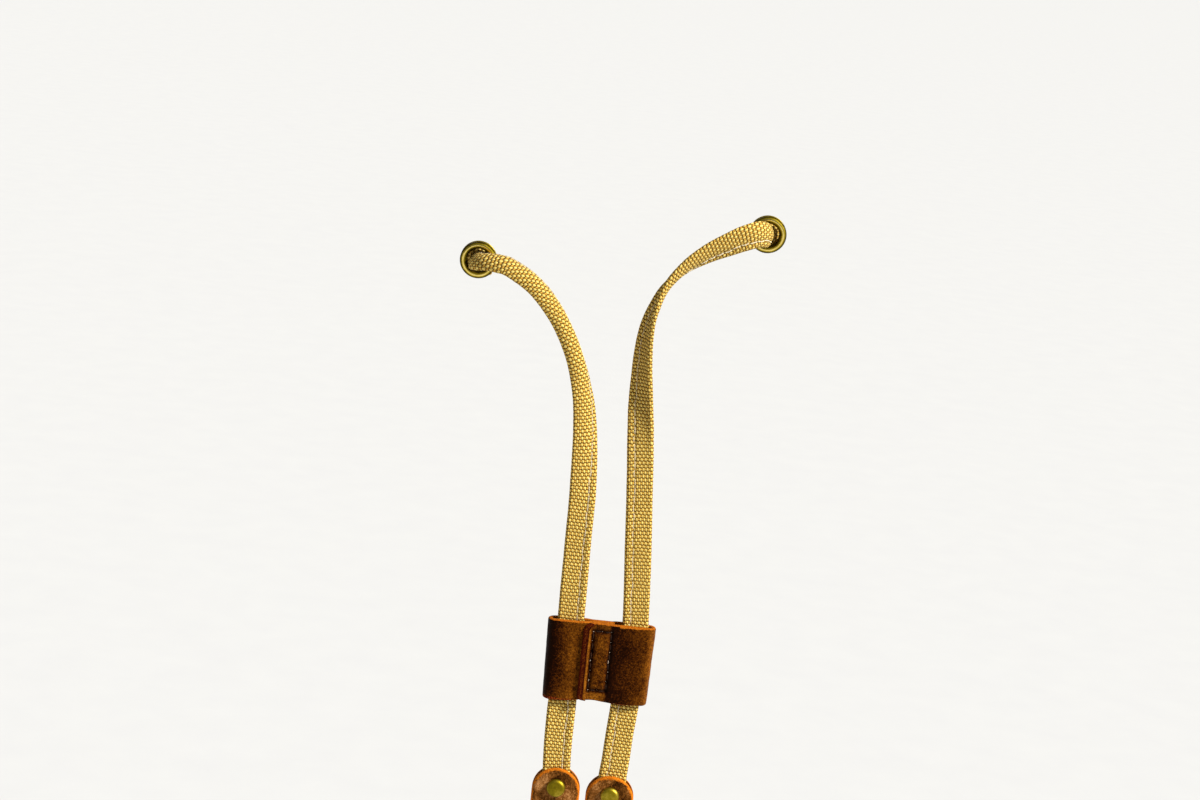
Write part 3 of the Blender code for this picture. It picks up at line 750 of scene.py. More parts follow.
def cord_relief(s, across, through, seam):
    """How far the surface stands out from the plain section, and how much painted shade darkens it along
    the seam.
    """
    facing = smooth_step(np.abs(through), 0.35 * CORD_THICKNESS, 0.5 * CORD_THICKNESS)
    from_seam = across - seam
    narrow_side = np.sign(seam)
    pucker = 0.62 + 0.38 * np.cos(2 * math.pi * s / CORD_STITCH)
    groove = bell(from_seam, GROOVE_WIDTH) * facing * pucker
    # the cut edge is folded under, so the cord is a layer thicker on the seam's narrow side
    layer = smooth_step(from_seam * narrow_side, -0.2 * MM, 0.9 * MM)
    step = (1 - layer) * facing * (through < 0)
    rim = bell(np.abs(across) - 0.42 * CORD_WIDTH, RIM_WIDTH) * facing
    roll = bell(from_seam - narrow_side * ROLL_FROM_SEAM, ROLL_WIDTH) * facing
    out = RIM_RISE * rim + ROLL_RISE * roll - GROOVE_DEPTH * groove - LAYER_STEP * step
    # painted shade in the sewn groove and just beside the seam
    seam_shade = np.clip(0.85 * groove + 0.5 * bell(from_seam + 0.2 * MM, 0.35 * MM) * facing, 0, 1)
    return out, seam_shade


def drawcord(name, ribbon, seam, mat):
    """The folded strip, swept along its ribbon with its sewn groove, folds and small lumps."""
    section = cord_section()
    count = len(section)
    s = np.repeat(ribbon.along, count)
    across = np.tile(section[:, 0], len(ribbon.along))
    through = np.tile(section[:, 1], len(ribbon.along))
    out, seam_shade = cord_relief(s, across, through, seam)
    plain = ribbon.point(s, across, through)
    out = out + waves(plain, 7 * MM, seed=3.0) * 0.12 * MM + waves(plain, 2.4 * MM) * 0.05 * MM
    # the relief stands out mostly through the cord, and a little across it at the edges
    length = np.hypot(across * 0.12, through)
    across = across * (1 + 0.012 * np.sin(s / (9 * MM))) + across * 0.12 / length * out * 0.5
    through = through + through / length * out
    points = ribbon.point(s, across, through)
    around = np.linspace(0, WARP_COUNT * WARP_PITCH, count + 1)
    return piece(name, points, tube_faces(len(ribbon.along), count), mat, {"seam_shade": seam_shade},
                 tube_uv(ribbon.along, around), sharp_angle=1.3)


def cord_seam_thread(name, ribbon, seam, mat):
    """The sewn line: one stitch after another on both faces of the cord, dipping at each hole."""
    runs = []
    t = np.linspace(0, 1, 11)
    for side, sunk in STITCH_SUNK:
        for i in range(int(ribbon.length / CORD_STITCH)):
            drift = sum(reach * math.sin(i * speed) for reach, speed in STITCH_DRIFTS)
            s = (i + (1 - STITCH_SHARE) / 2 + STITCH_SHARE * t) * CORD_STITCH
            lift = np.sin(np.pi * t) ** 0.45
            surface = CORD_THICKNESS / 2 - sunk
            through = side * (surface + (lift * 1.05 - 0.75) * CORD_THREAD_R * 1.3)
            across = seam + drift + 0.10 * MM * np.sin(np.pi * t) * (-1) ** i
            runs.append((ribbon.point(s, across, through), side * ribbon.at(ribbon.face, s)))
    return twisted_thread(name, runs, CORD_THREAD_R, mat, sides=5, lay=7.0)


def cord_stop(name, node, mat):
    """The cord's inner end, folded to and fro in three layers behind its eyelet."""
    low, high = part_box(node)
    centre = centre_of(node)
    layer = (high.y - low.y) / 3
    turn_x = radius_of(node) - layer
    path = []
    for i in range(3):
        y = low.y + layer * (i + 0.5)
        run = [(x, y) for x in np.linspace(-turn_x, turn_x, 14)]
        bend = turned((turn_x, y + layer / 2), (layer / 2, layer / 2), -90, 90, 8)
        if i % 2:
            run = [(-x, y) for x, y in run]
            bend = [(-x, y) for x, y in bend]
        path += run + (bend[1:-1] if i < 2 else [])
    path = np.array(path)
    section = cord_section()
    points = []
    seam_shade = []
    for (x, y), (tx, ty) in zip(path, directions(path)):
        for across, through in section:
            points.append(Vector((centre.x + x - ty * through * STOP_THIN,
                                  y + tx * through * STOP_THIN, centre.z + across * STOP_NARROW)))
            # painted shade along the sewn line
            seam_shade.append(float(bell(across - LEFT_SEAM, 0.5 * MM)))
    around = np.linspace(0, WARP_COUNT * WARP_PITCH, len(section) + 1)
    return piece(name, points, tube_faces(len(path), len(section)), mat, {"seam_shade": seam_shade},
                 tube_uv(distances(path), around), sharp_angle=1.3)


def stop_tack(name, node, mat):
    """Two bar tacks that hold the folded stop together: close zigzag stitching on its back."""
    low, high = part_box(node)
    heights = np.linspace(low.z + TACK_FROM_TOP, high.z - TACK_FROM_TOP, TACK_TURNS)
    t = np.linspace(0, 1, 8)
    runs = []
    for x in (low.x + TACK_FROM_SIDE, high.x - TACK_FROM_SIDE):
        for i in range(TACK_TURNS - 1):
            swing = TACK_REACH * (1 if i % 2 else -1)
            line = np.stack([x + swing * (1 - 2 * t),
                             high.y + 0.12 * MM + 0.22 * MM * np.sin(np.pi * t) ** 0.5,
                             heights[i] + (heights[i + 1] - heights[i]) * t], axis=-1)
            runs.append((line, BACKWARDS))
    return twisted_thread(name, runs, CORD_THREAD_R, mat, sides=5, lay=7.0)


# ---------------------------------------------------------------- slider

def band_path():
    """Middle line of the strip in (x, y) about the slider's centre, as evenly spaced points."""
    tunnel = TUNNEL_HALF + LEATHER / 2
    pinched = (LAYER_GAP + LEATHER) / 2
    lapped = pinched + LEATHER + LAYER_GAP
    lap_out = tunnel + LEATHER + LAYER_GAP
    turn_x = size_of("slider_band").x / 2 - LEATHER / 2 - tunnel
    lap_fall = UNDER_END + LAP_FALL
    corners = [(UNDER_END, -pinched), (0.0, -pinched), (PINCH_LEFT, -pinched),
               (PINCH_LEFT - LEFT_RAMP, -tunnel), (-turn_x + MM, -tunnel)]
    corners += turned((-turn_x, 0), (tunnel, tunnel), 270, 90, 12)
    corners += [(PINCH_LEFT - LEFT_RAMP, tunnel), (PINCH_LEFT, pinched), (0.0, pinched),
                (PINCH_RIGHT, pinched), (PINCH_RIGHT + RIGHT_RAMP, tunnel), (turn_x - MM, tunnel)]
    corners += turned((turn_x, 0), (tunnel, tunnel), 90, -90, 12)
    corners += [(lap_fall + 2.6 * MM, -tunnel), (lap_fall, -lapped), (0.0, -lapped),
                (PINCH_LEFT + LAP_SHIFT, -lapped), (PINCH_LEFT + LAP_SHIFT - LAP_RAMP, -lap_out),
                (LAP_EDGE, -lap_out)]
    line = np.array(corners)
    for _ in range(2):
        cut = [line[0]]
        for a, b in zip(line, line[1:]):
            cut += [a * 0.75 + b * 0.25, a * 0.25 + b * 0.75]
        line = np.array(cut + [line[-1]])
    along = distances(line)
    even = np.linspace(0, along[-1], int(along[-1] / BAND_STEP))
    even = np.concatenate((even[:-1], [even[-1] - 0.12 * MM], [even[-1]] * CUT_RINGS))
    return even, np.stack([np.interp(even, along, line[:, k]) for k in range(2)], axis=-1)


def stitch_holes():
    """The needle holes (x, z), in order round the seam rectangle."""
    corners = ((SEAM_LEFT, SEAM_TOP), (SEAM_RIGHT, SEAM_TOP), (SEAM_RIGHT, SEAM_BOTTOM),
               (SEAM_LEFT, SEAM_BOTTOM))
    counts = (STITCHES_ACROSS, STITCHES_DOWN) * 2
    holes = []
    for (x0, z0), (x1, z1), count in zip(corners, corners[1:] + corners[:1], counts):
        holes += [(x0 + (x1 - x0) * i / count, z0 + (z1 - z0) * i / count) for i in range(count)]
    return holes


def seam_distance(x, z):
    """Signed distance to the seam rectangle, negative inside it."""
    mid_x = (SEAM_LEFT + SEAM_RIGHT) / 2
    mid_z = (SEAM_BOTTOM + SEAM_TOP) / 2
    over_x = np.abs(x - mid_x) - (SEAM_RIGHT - SEAM_LEFT) / 2
    over_z = np.abs(z - mid_z) - (SEAM_TOP - SEAM_BOTTOM) / 2
    outside = np.hypot(np.maximum(over_x, 0), np.maximum(over_z, 0))
    return outside + np.minimum(np.maximum(over_x, over_z), 0)


def band_relief(x, z):
    """How far the strip's outside stands proud: pulled in by the seam, puffed between."""
    gap = seam_distance(x, z)
    nearest = np.min([np.hypot(x - hx, z - hz) for hx, hz in stitch_holes()], axis=0)
    puff = smooth_step(-gap, 0.3 * MM, 2.2 * MM)
    cords = bell(x + CORDS_APART / 2, CORDS_WIDTH) + bell(x - CORDS_APART / 2, CORDS_WIDTH)
    return (PUFF_RISE * puff + CORDS_RISE * cords - SEAM_SINK * bell(gap, SEAM_SINK_WIDTH)
            - HOLE_SINK * bell(nearest, HOLE_SINK_WIDTH))


# Colour of the strip's outside from left to right, 0 dark and oily to 1 pulled pale: painted shade
# darkens the left end and a little beside the lap's end, painted light brightens the pulled-pale
# right end, and it is darker just right of the seam
FRONT_TONE_SHADE_AND_LIGHT = ((-23.8, -0.08), (-20.8, -0.08), (-17.2, 0.24), (-12.0, 0.54), (-8.7, 0.46),
               (-5.9, 0.46), (-3.3, 0.38), (4.1, 0.40), (5.0, -0.10), (8.5, 0.06), (14.8, 0.28),
               (19.8, 0.40), (22.0, 0.62), (24.0, 0.74))


def band_tone(x, z, on_front, on_lap):
    """The leather's tone over the slider, with the lap's worn tan border and painted shade along the
    seam.
    """
    gap = seam_distance(x, z)
    # the left end's painted shade and the right end's painted light come in with these tones
    front = np.interp(x, [p * MM for p, _ in FRONT_TONE_SHADE_AND_LIGHT], [t for _, t in FRONT_TONE_SHADE_AND_LIGHT])
    # on the back, painted shade along the seam
    back = BACK_TONE + 0.18 * bell(np.abs(x) - 21 * MM, 3 * MM) - 0.12 * bell(gap, 1.2 * MM)
    tone = np.where(on_front, front, back)
    tone = tone + 0.14 * smooth_step(-z, 11 * MM, 17 * MM) * (x < 3 * MM)
    inside = smooth_step(-gap, 0.3 * MM, 1.0 * MM)
    tone = np.where(on_lap, tone + 0.06 * inside, tone)
    left_border = smooth_step(SEAM_LEFT - x, 0.5 * MM, 1.2 * MM)
    foot_border = smooth_step(SEAM_BOTTOM - z, 0.7 * MM, 1.5 * MM)
    foot_border *= smooth_step(SEAM_RIGHT - x, 0.0, 2.0 * MM)
    head = 1 - 0.55 * smooth_step(z, 11.5 * MM, 16.5 * MM)
    paleness = np.maximum(left_border, 0.55 * foot_border) * head
    tone = np.where(on_lap, tone * (1 - paleness) + WORN_TONE * paleness, tone)
    # painted shade along the sunk seam line
    return tone - 0.45 * bell(gap, 0.75 * MM)


def band_section():
    """The strip's section: through from its inside to its outside, and z, with rounded edges."""
    half = LEATHER / 2
    top = size_of("slider_band").z / 2
    rows = np.linspace(top - HEAD_ROUND, FOOT_ROUND - top, BAND_ROWS)
    section = [(half, z) for z in rows]
    section += turned((half - FOOT_ROUND, FOOT_ROUND - top), (FOOT_ROUND, FOOT_ROUND), 0, -90, 4)[1:]
    section += turned((INNER_ROUND - half, INNER_ROUND - top), (INNER_ROUND, INNER_ROUND), -90, -180, 3)
    section += [(-half, z) for z in rows[::-1]]
    section += turned((INNER_ROUND - half, top - INNER_ROUND), (INNER_ROUND, INNER_ROUND), 180, 90, 3)
    section += turned((half - HEAD_ROUND, top - HEAD_ROUND), (HEAD_ROUND, HEAD_ROUND), 90, 0, 5)[:-1]
    return np.array(section)


def lap_cut(s, through, z, length):
    """How far in x the lap's end is drawn back: bevelled, leaning, with rounded corners."""
    top = size_of("slider_band").z / 2
    near_end = smooth_step(s, length - 5 * MM, length) ** 2
    top_r, bottom_r = LAP_CORNERS
    over_top = np.clip(z - (top - top_r), 0, CORNER_TURN * top_r)
    over_foot = np.clip(-z - (top - bottom_r), 0, CORNER_TURN * bottom_r)
    corner = (top_r - np.sqrt(top_r ** 2 - over_top ** 2)
              + bottom_r - np.sqrt(bottom_r ** 2 - over_foot ** 2))
    bevel = LAP_BEVEL * (through + LEATHER / 2) / LEATHER
    ragged = 0.16 * MM * waves(np.stack([z, z * 0, z * 0], axis=-1), 5 * MM, seed=5.0)
    return near_end * (bevel + corner + ragged + LAP_DRIFT * z / top)


def slider_band(mat):
    """The wound strip: a rounded strip section swept round both tunnels and over itself."""
    half = LEATHER / 2
    top = size_of("slider_band").z / 2
    along, path = band_path()
    inner = directions(path[:1 - CUT_RINGS])
    tangents = np.concatenate((inner, np.repeat(inner[-1:], CUT_RINGS - 1, axis=0)))
    section = band_section()
    count = len(section)

    # the last rings close in on the middle of the cut end
    shrink = np.ones(len(along))
    shrink[-CUT_RINGS:] = np.linspace(1.0, 0.12, CUT_RINGS)
    shrink = np.repeat(shrink, count)
    through = np.tile(section[:, 0], len(along)) * shrink
    z = np.tile(section[:, 1], len(along))
    z = np.sign(z) * (np.abs(z) - half * (1 - shrink))
    line = np.repeat(path, count, axis=0)
    tangent = np.repeat(tangents, count, axis=0)
    s = np.repeat(along, count)
    x = line[:, 0] - tangent[:, 1] * through
    y = line[:, 1] + tangent[:, 0] * through

    outer = smooth_step(through / shrink, 0.0, half) * (shrink == 1.0)
    on_front = line[:, 1] < 0
    on_lap = s > along[-1] - LAP_LENGTH
    facing = np.abs(tangent[:, 0])
    places = np.stack([x, y, z], axis=-1)
    lump = waves(places, 8 * MM, seed=7.0) * 0.16 * MM + waves(places, 2.6 * MM, seed=1.0) * 0.06 * MM
    rise = outer * (band_relief(x, z) * facing + lump)
    x = x - tangent[:, 1] * rise
    y = y + tangent[:, 0] * rise
    x = x + lap_cut(s, through, z, along[-1])

    # hand-cut edges: the head rises a little over the seam, the foot bows up at it
    high = smooth_step(z, 8 * MM, top)
    low = smooth_step(-z, 8 * MM, top)
    shape = np.stack([x, y * 0, z * 0], axis=-1)
    z = z + high * (HEAD_RISE * bell(x, 9 * MM) + 0.14 * MM * waves(shape, 4 * MM, seed=2.0))
    z = z + low * (0.75 * MM * bell(x + 1.5 * MM, 6 * MM) - 0.35 * MM * bell(x - 13 * MM, 6 * MM)
                   + 0.16 * MM * waves(shape, 3.5 * MM, seed=9.0)) * on_front
    z = z - low * FOOT_DROP * smooth_step(-x, 0.0, 20 * MM)
    x = tapered(x, z)

    # raw edges: a broad tan rim along the head, a thin one along the foot darkened with painted shade,
    # the red-brown cut
    tone = band_tone(x, z, on_front, on_lap)
    top_line = top + high * HEAD_RISE * bell(x, 9 * MM)
    breadth = RAW_HEAD + RAW_HEAD_MORE * bell(x - 8 * MM, 9 * MM)
    breadth = np.where(on_lap & on_front, RAW_HEAD_LAP, breadth)
    edge_top = smooth_step(z - (top_line - breadth), -0.45 * MM, 0.35 * MM)
    edge_foot = smooth_step(-z, top - 0.35 * MM, top + 0.1 * MM)
    end = s > along[-1] - 0.05 * MM
    tone = np.where(edge_top > EDGE_SHOWS, HEAD_EDGE_TONE, tone)
    # painted shade on the foot's downward raw edge
    tone = np.where(edge_foot > EDGE_SHOWS, FOOT_EDGE_SHADE_TONE, tone)
    tone = np.where(end, CUT_TONE + CUT_TONE_RISE * (1 - shrink), tone)
    raw = np.where(end, 1.0, np.maximum(edge_top, edge_foot))
    return piece("slider_leather_band", on_slider(x, y, z), tube_faces(len(along), count), mat,
                 {"tone": tone, "raw": raw}, sharp_angle=0.9)


def slider_centre():
    """Middle of the slider in x and z, on the plane that the cords lie in."""
    low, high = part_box("slider_band")
    return Vector(((low.x + high.x) / 2, high.y - TUNNEL_HALF - LEATHER, (low.z + high.z) / 2))


def on_slider(x, y, z):
    """World places of points given about the slider's centre."""
    centre = slider_centre()
    return np.stack([centre.x + x, centre.y + y, centre.z + z], axis=-1)


def tapered(x, z):
    """x drawn in towards the slider's foot."""
    return x * (1 - SLIDER_TAPER * (0.5 - z / size_of("slider_band").z))


def front_surface(x, z):
    """y of the lap's outside about the slider's centre."""
    along, path = band_path()
    lap = path[(along > along[-1] - LAP_LENGTH) & (path[:, 1] < 0)][::-1]
    return np.interp(x, lap[:, 0], lap[:, 1]) - LEATHER / 2 - band_relief(x, z)


def back_surface(x, z):
    """y of the strip's outside at the back about the slider's centre."""
    _, path = band_path()
    back = path[path[:, 1] > 0]
    return np.interp(x, back[:, 0], back[:, 1]) + LEATHER / 2 + band_relief(x, z)


def hole_pairs():
    """Each needle hole with the next one round the rectangle."""
    holes = stitch_holes()
    return zip(holes, holes[1:] + holes[:1])


def seam_stitches(name, surface, outward, radius, mat):
    """A stitch from hole to hole round the rectangle, each end diving into its hole."""
    runs = []
    t = np.linspace(0, 1, 17)
    along = STITCH_INSET + (1 - 2 * STITCH_INSET) * t
    dive = (1 - np.sqrt(np.sin(np.pi * t))) * STITCH_DIVE
    for i, ((x0, z0), (x1, z1)) in enumerate(hole_pairs()):
        x = x0 + (x1 - x0) * along + STITCH_WANDER * math.sin(i * 2.3)
        z = z0 + (z1 - z0) * along
        y = surface(x, z) + outward[1] * (0.12 * MM - dive)
        runs.append((on_slider(tapered(x, z), y, z), outward))
    return twisted_thread(name, runs, radius, mat, plies=3, sides=6, lay=6.0)


def lock_loops():
    """Pale loops of the bobbin thread, pulled up so that they just show at the front holes."""
    runs = []
    t = np.linspace(0, 1, 9)
    for i, ((x0, z0), (x1, z1)) in enumerate(hole_pairs()):
        run = math.hypot(x1 - x0, z1 - z0)
        length = LOOP_LENGTH + LOOP_LENGTH_VARIES * math.sin(i * 4.1)
        aside = LOOP_ASIDE * math.cos(i * 2.7)
        x = x0 + (t - 0.5) * length * (x1 - x0) / run + aside * (z1 - z0) / run
        z = z0 + (t - 0.5) * length * (z1 - z0) / run - aside * (x1 - x0) / run
        rise = 0.28 + 0.24 * math.sin(i * 5.3)
        y = front_surface(x, z) - (np.sin(np.pi * t) * 0.6 - 0.6 + rise) * MM
        runs.append((on_slider(tapered(x, z), y, z), FORWARDS))
    return runs


# ---------------------------------------------------------------- tabs and metal

def tab_rows(length, radius):
    """Distances along the folded strip, close together where its ends are round."""
    ends = [radius * (1 - math.cos(a)) for a in np.linspace(0.0, math.pi / 2, 18)]
    middle = list(np.linspace(radius, length - radius, 46))[1:-1]
    return np.array(ends + middle + [length - e for e in reversed(ends)])


def tab_ring(reach):
    """Outline (x, through) of the strip where it reaches that far to each side of its middle."""
    half = TAB_LEATHER / 2
    bevel = min(TAB_BEVEL, reach * 0.8)
    across = np.linspace(-1.0, 1.0, TAB_POINTS)
    right = [(reach - bevel * 0.45, half - bevel * 0.32), (reach, half - bevel * 0.95),
             (reach, -half + 0.2 * MM), (reach - 0.2 * MM, -half)]
    ring = [(a * (reach - bevel), half) for a in across] + right
    ring += [(-a * (reach - 0.4 * MM), -half) for a in across[2:-2]]
    return ring + [(-x, through) for x, through in reversed(right)]


def end_tab(name, node, mat):
    """A folded strip with half-round ends: front leaf, fold, back leaf, in one sweep."""
    low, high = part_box(node)
    centre = centre_of(node)
    radius = radius_of(node)
    half = TAB_LEATHER / 2
    fold_r = TAB_INSIDE / 2 + half
    straight = (high.z - low.z) - fold_r - half
    length = 2 * straight + math.pi * fold_r
    fold_z = low.z + fold_r + half

    def on_path(s):
        """y, z on the strip's middle line and its outward direction there."""
        if s < straight:
            return (-fold_r, fold_z + straight - s), (-1.0, 0.0)
        if s > length - straight:
            return (fold_r, fold_z + s - (length - straight)), (1.0, 0.0)
        angle = math.pi * (s - straight) / (math.pi * fold_r)
        out = (-math.cos(angle), -math.sin(angle))
        return (out[0] * fold_r, fold_z + out[1] * fold_r), out

    points = []
    tone = []
    raw = []
    rows = tab_rows(length, radius)
    for s in rows:
        from_end = min(s, length - s)
        reach = radius
        if from_end < radius:
            reach = math.sqrt(max(radius ** 2 - (radius - from_end) ** 2, 0.0))
        reach = max(reach, 0.12 * MM)
        (y, z), (out_y, out_z) = on_path(s)
        # towards the fold the leaves close on each other behind the cord's end
        squeeze = TAB_SQUEEZE * float(smooth_step(-(z - centre.z), 4 * MM, 14 * MM))
        squeeze *= 1 - abs(out_z)
        ring = tab_ring(reach)
        for x, through in ring:
            place = Vector((centre.x + x, centre.y + y + out_y * (through - squeeze),
                            z + out_z * through))
            lump = noise.noise(place / (6 * MM)) * 0.16 * MM + noise.noise(place / (2 * MM)) * 0.05 * MM
            if through > 0:
                place.y += out_y * (lump - TAB_CUP * (x / radius) ** 2)
            # the raw rim: how near this point lies to the strip's cut edge
            gap = reach - abs(x)
            if from_end < radius:
                gap = min(gap, radius - math.hypot(x, radius - from_end))
            breadth = TAB_RIM * (1 + 0.45 * noise.noise(place / (4 * MM)))
            rim = 1 - gap / breadth if through > -half * 0.9 else 0.0
            points.append(place)
            raw.append(min(1.0, max(0.0, rim)))
            # paler towards the leaf's left: a painted sheen of reflected light, over a random tone
            paleness = float(bell(x + 6 * MM, 4 * MM)) * 0.22 + 0.18 * noise.noise(place / (5 * MM))
            tone.append(0.62 if rim > 0.5 else 0.32 + paleness)
    return piece(name, points, tube_faces(len(rows), len(ring)), mat, {"tone": tone, "raw": raw},
                 sharp_angle=1.1)


def rivet(name, node, tab, outward, post_r, mat):
    """A shallow domed cap with a soft rim that sits on the tab's leather, and its post."""
    low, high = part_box(node)
    tab_low, tab_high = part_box(tab)
    radius = radius_of(node)
    apex, leather_y, post_end = low.y, tab_low.y, high.y
    if outward > 0:
        apex, leather_y, post_end = high.y, tab_high.y, low.y
    seat = leather_y + outward * 0.1 * MM
    rise = apex - seat
    profile = [(0.0, apex, 0.42)]
    for share, height in CAP_DOME:
        # a brighter ring near the cap's rim: a painted highlight on rubbed brass
        polish_and_highlight = 0.42 + 0.12 * float(bell(share - 0.88, 0.08))
        profile.append((radius * share, seat + rise * height, polish_and_highlight))
    # almost no polish at the cap's foot: a painted dark contact line where it meets the leather
    profile += [(radius * 0.985, seat + rise * 0.04, 0.05), (radius * 0.93, seat, 0.0),
                (post_r, seat, 0.1), (post_r, post_end, 0.3), (0.0, post_end, 0.3)]
    return lathe(name, axis_of(node), profile, mat)


def eyelet_ring(name, node, mat):
    """A rolled flange, its barrel, and the lip turned over behind the washer."""
    low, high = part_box(node)
    radius = radius_of(node)
    crown = -low.y
    back = high.y
    mid = (radius + EYELET_HOLE) / 2
    half = (radius - EYELET_HOLE) / 2
    barrel = EYELET_HOLE + EYELET_WALL
    profile = [(barrel, 0.0, 0.1), (radius - 0.7 * MM, 0.0, 0.05),
               (radius - 0.2 * MM, -0.12 * MM, 0.05)]
    # a bright band round the crown: rubbed brass, with a painted highlight on it
    for a, b in turned((mid, -BROW), (half, crown - BROW), 0, -180, 20):
        profile.append((a, b, 0.06 + 1.0 * float(bell(a - (mid + 0.15 * MM), 0.60 * MM))))
    profile += [(EYELET_HOLE, 0.6 * MM, 0.45), (EYELET_HOLE, back - 0.5 * MM, 0.4),
                (EYELET_HOLE + 0.25 * MM, back - 0.08 * MM, 0.6)]
    lip = turned((LIP_RADIUS - LIP_ROUND, back - LIP_ROUND), (LIP_ROUND, LIP_ROUND), 90, -90, 6)
    profile += [(a, b, 0.5) for a, b in lip]
    profile.append((barrel, back - 2 * LIP_ROUND, 0.2))
    return lathe(name, axis_of(node), profile, mat)


def washer_ring(name, node, mat):
    """A flat washer with softened edges, hollowed a little where the eyelet's lip presses."""
    low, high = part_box(node)
    radius = radius_of(node)
    flat = radius - WASHER_ROUND
    profile = [(WASHER_BORE, low.y, 0.3), (flat, low.y, 0.4), (radius, low.y + WASHER_ROUND, 0.7),
               (radius, high.y - WASHER_ROUND, 0.7), (flat, high.y, 0.6),
               (WASHER_BORE + 1.2 * MM, high.y - 0.1 * MM, 0.4), (WASHER_BORE, high.y - 0.12 * MM, 0.3)]
    return lathe(name, axis_of(node), profile, mat)


# ---------------------------------------------------------------- stage

def sun(name, towards, strength, spread_deg, colour):
    """A soft even light that shines from the direction towards."""
    light = bpy.data.lights.new(name, "SUN")
    light.energy = strength
    light.angle = math.radians(spread_deg)
    light.color = colour
    obj = bpy.data.objects.new(name, light)
    obj.rotation_euler = Vector(towards).to_track_quat("Z", "Y").to_euler()
    bpy.context.scene.collection.objects.link(obj)


def camera():
    """The camera looks down a little and leans, so that the slider's head tips to the right."""
    data = bpy.data.cameras.new("camera")
    data.lens = CAMERA_LENS
    data.sensor_width = SENSOR_WIDTH
    target = slider_centre() + CAMERA_FROM_SLIDER
    back = Vector((0, -math.cos(CAMERA_ELEVATION), math.sin(CAMERA_ELEVATION)))
    obj = bpy.data.objects.new("camera", data)
    obj.rotation_euler = (Matrix.Rotation(CAMERA_ROLL, 3, back)
                          @ back.to_track_quat("Z", "Y").to_matrix()).to_euler()
    obj.location = target + back * CAMERA_DISTANCE
    bpy.context.scene.collection.objects.link(obj)
    bpy.context.scene.camera = obj


def floor():
    """A wide pale floor with a faint grain, a little below the part."""
    level = CAD_BOX[0].z - FLOOR_DROP
    points = [(x * FLOOR_REACH, y * FLOOR_REACH, level) for x, y in ((-1, -1), (1, -1), (1, 1), (-1, 1))]
    g = Graph("pale_floor")
    grain = g.noise(g.place(), 40 * MM, 4.0)
    g.set(Base_Color=g.mix(grain, (0.66, 0.66, 0.66, 1.0), (0.70, 0.70, 0.69, 1.0)), Roughness=1.0,
          Specular_IOR_Level=0.1)
    piece("floor", points, [(0, 1, 2, 3)], g.material)


def backdrop():
    """A world that lights the part faintly, and is as pale as the floor where it is seen."""
    world = bpy.data.worlds.new("studio")
    world.use_nodes = True
    tree = world.node_tree
    light = tree.nodes["Background"]
    light.inputs["Color"].default_value = WORLD_LIGHT
    light.inputs["Strength"].default_value = WORLD_STRENGTH
    paper = tree.nodes.new("ShaderNodeBackground")
    paper.inputs["Color"].default_value = WORLD_SEEN
    choose = tree.nodes.new("ShaderNodeMixShader")
    tree.links.new(tree.nodes.new("ShaderNodeLightPath").outputs["Is Camera Ray"], choose.inputs[0])
    tree.links.new(light.outputs[0], choose.inputs[1])
    tree.links.new(paper.outputs[0], choose.inputs[2])
    tree.links.new(choose.outputs[0], tree.nodes["World Output"].inputs["Surface"])
    bpy.context.scene.world = world


def stage():
    """The floor, the backdrop and two soft lights: a key from the right and a faint one behind."""
    floor()
    backdrop()
    sun("key", (0.90, -0.46, 0.82), 5.7, 7.0, (1.0, 0.985, 0.95))
    sun("rim", (-0.35, 0.85, 0.55), 0.5, 25.0, (1.0, 1.0, 1.0))
    bpy.context.scene.view_settings.view_transform = "Standard"


def add(obj, body, node=None):
    """Ride a piece on its body, in place of a CAD node if one is named, which is then hidden."""
    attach(obj, body)
    if node:
        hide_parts(node)
    return obj


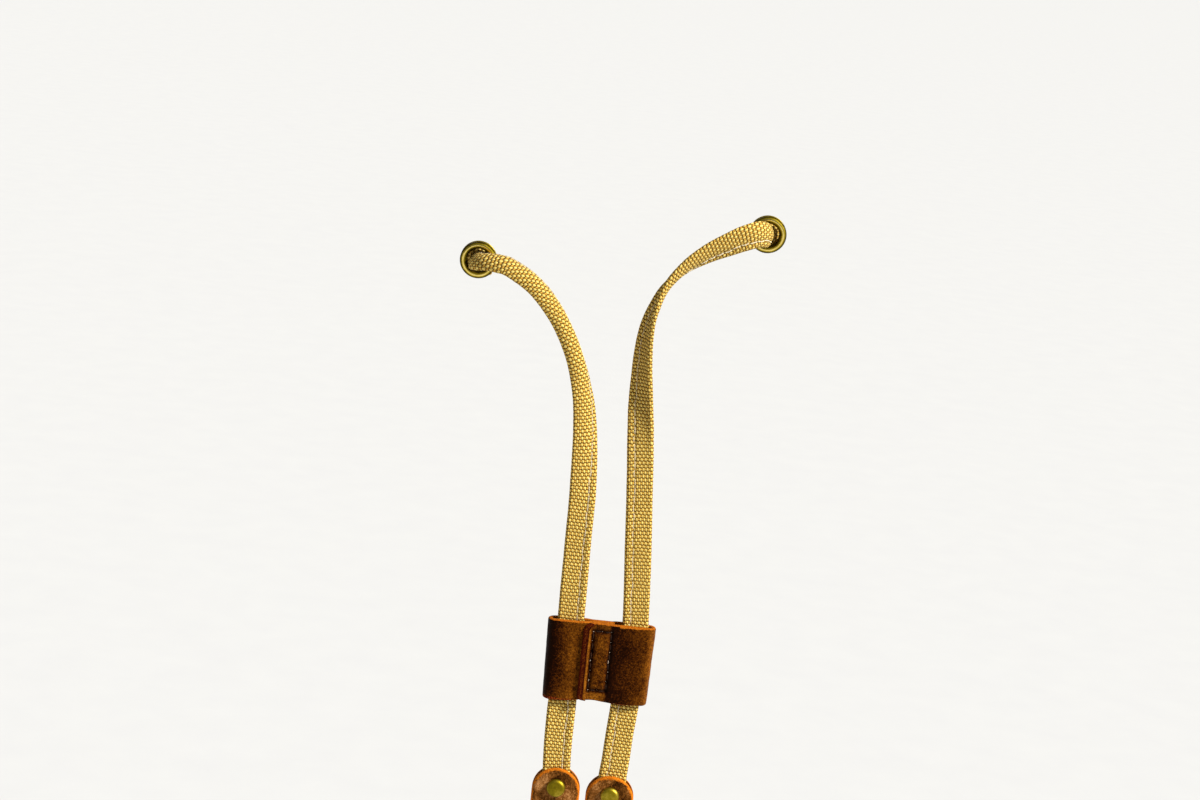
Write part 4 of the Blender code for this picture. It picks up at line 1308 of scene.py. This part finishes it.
def add_slider(strip, dark_thread, pale_thread):
    """The wound strip and the two threads of its seam."""
    add(slider_band(strip), "slider", "slider_band")
    add(seam_stitches("needle_stitches", front_surface, FORWARDS, NEEDLE_THREAD_R, dark_thread),
        "slider", "needle_thread")
    add(seam_stitches("bobbin_stitches", back_surface, BACKWARDS, SLIDER_THREAD_R, pale_thread),
        "slider", "bobbin_thread")
    add(twisted_thread("bobbin_loops", lock_loops(), LOOP_THREAD_R, pale_thread),
        "slider")


def add_side(side, route, seam, bulge, cloth, thread, brass, tab_leather):
    """One half of the drawcord, from its stop behind the eyelet to its riveted tab."""
    ribbon = Ribbon(route, bulge)
    cord = add(drawcord(side + "_cord", ribbon, seam, cloth), "anchor",
               side + "_drawcord")
    stitches = add(cord_seam_thread(side + "_seam_thread", ribbon, seam, thread), "anchor")
    stop = add(cord_stop(side + "_folded_stop", side + "_cord_stop", cloth), "anchor",
               side + "_cord_stop")
    tack = add(stop_tack(side + "_stop_tack", side + "_cord_stop", thread), "anchor")
    add(eyelet_ring(side + "_brass_eyelet", side + "_eyelet", brass), "anchor",
        side + "_eyelet")
    add(washer_ring(side + "_brass_washer", side + "_eyelet_washer", brass), "anchor",
        side + "_eyelet_washer")
    body = side + "_tab"
    tab = add(end_tab(side + "_leather_tab", body, tab_leather), body, body)
    cap = add(rivet(side + "_brass_cap", side + "_rivet_cap", body, -1, POST_RADIUS, brass), body,
              side + "_rivet_cap")
    stud = add(rivet(side + "_brass_stud", side + "_rivet_stud", body, 1, STUD_RADIUS, brass), body,
               side + "_rivet_stud")


def main():
    camera()
    stage()
    cloth = canvas()
    strip = leather("oiled_leather", BAND_FACE, BAND_CUT, gloss=0.44, clouds=0.70, specks=1.70,
                    flecks=1.30)
    tab_leather = leather("tab_leather", TAB_FACE, TAB_CUT, gloss=0.50, clouds=1.10, specks=1.15,
                          flecks=0.85)
    brass = old_brass()
    dark_thread = thread_material("waxed_thread", (0.007, 0.0025, 0.0015), (0.040, 0.015, 0.007))
    pale_thread = thread_material("bobbin_thread", (0.24, 0.16, 0.11), (0.82, 0.66, 0.50))
    cord_thread = thread_material("cord_thread", (0.56, 0.42, 0.22), (1.0, 0.92, 0.70))

    add_slider(strip, dark_thread, pale_thread)
    add_side("left", LEFT_ROUTE, LEFT_SEAM, 1, cloth, cord_thread, brass, tab_leather)
    add_side("right", RIGHT_ROUTE, RIGHT_SEAM, -1, cloth, cord_thread, brass, tab_leather)


main()
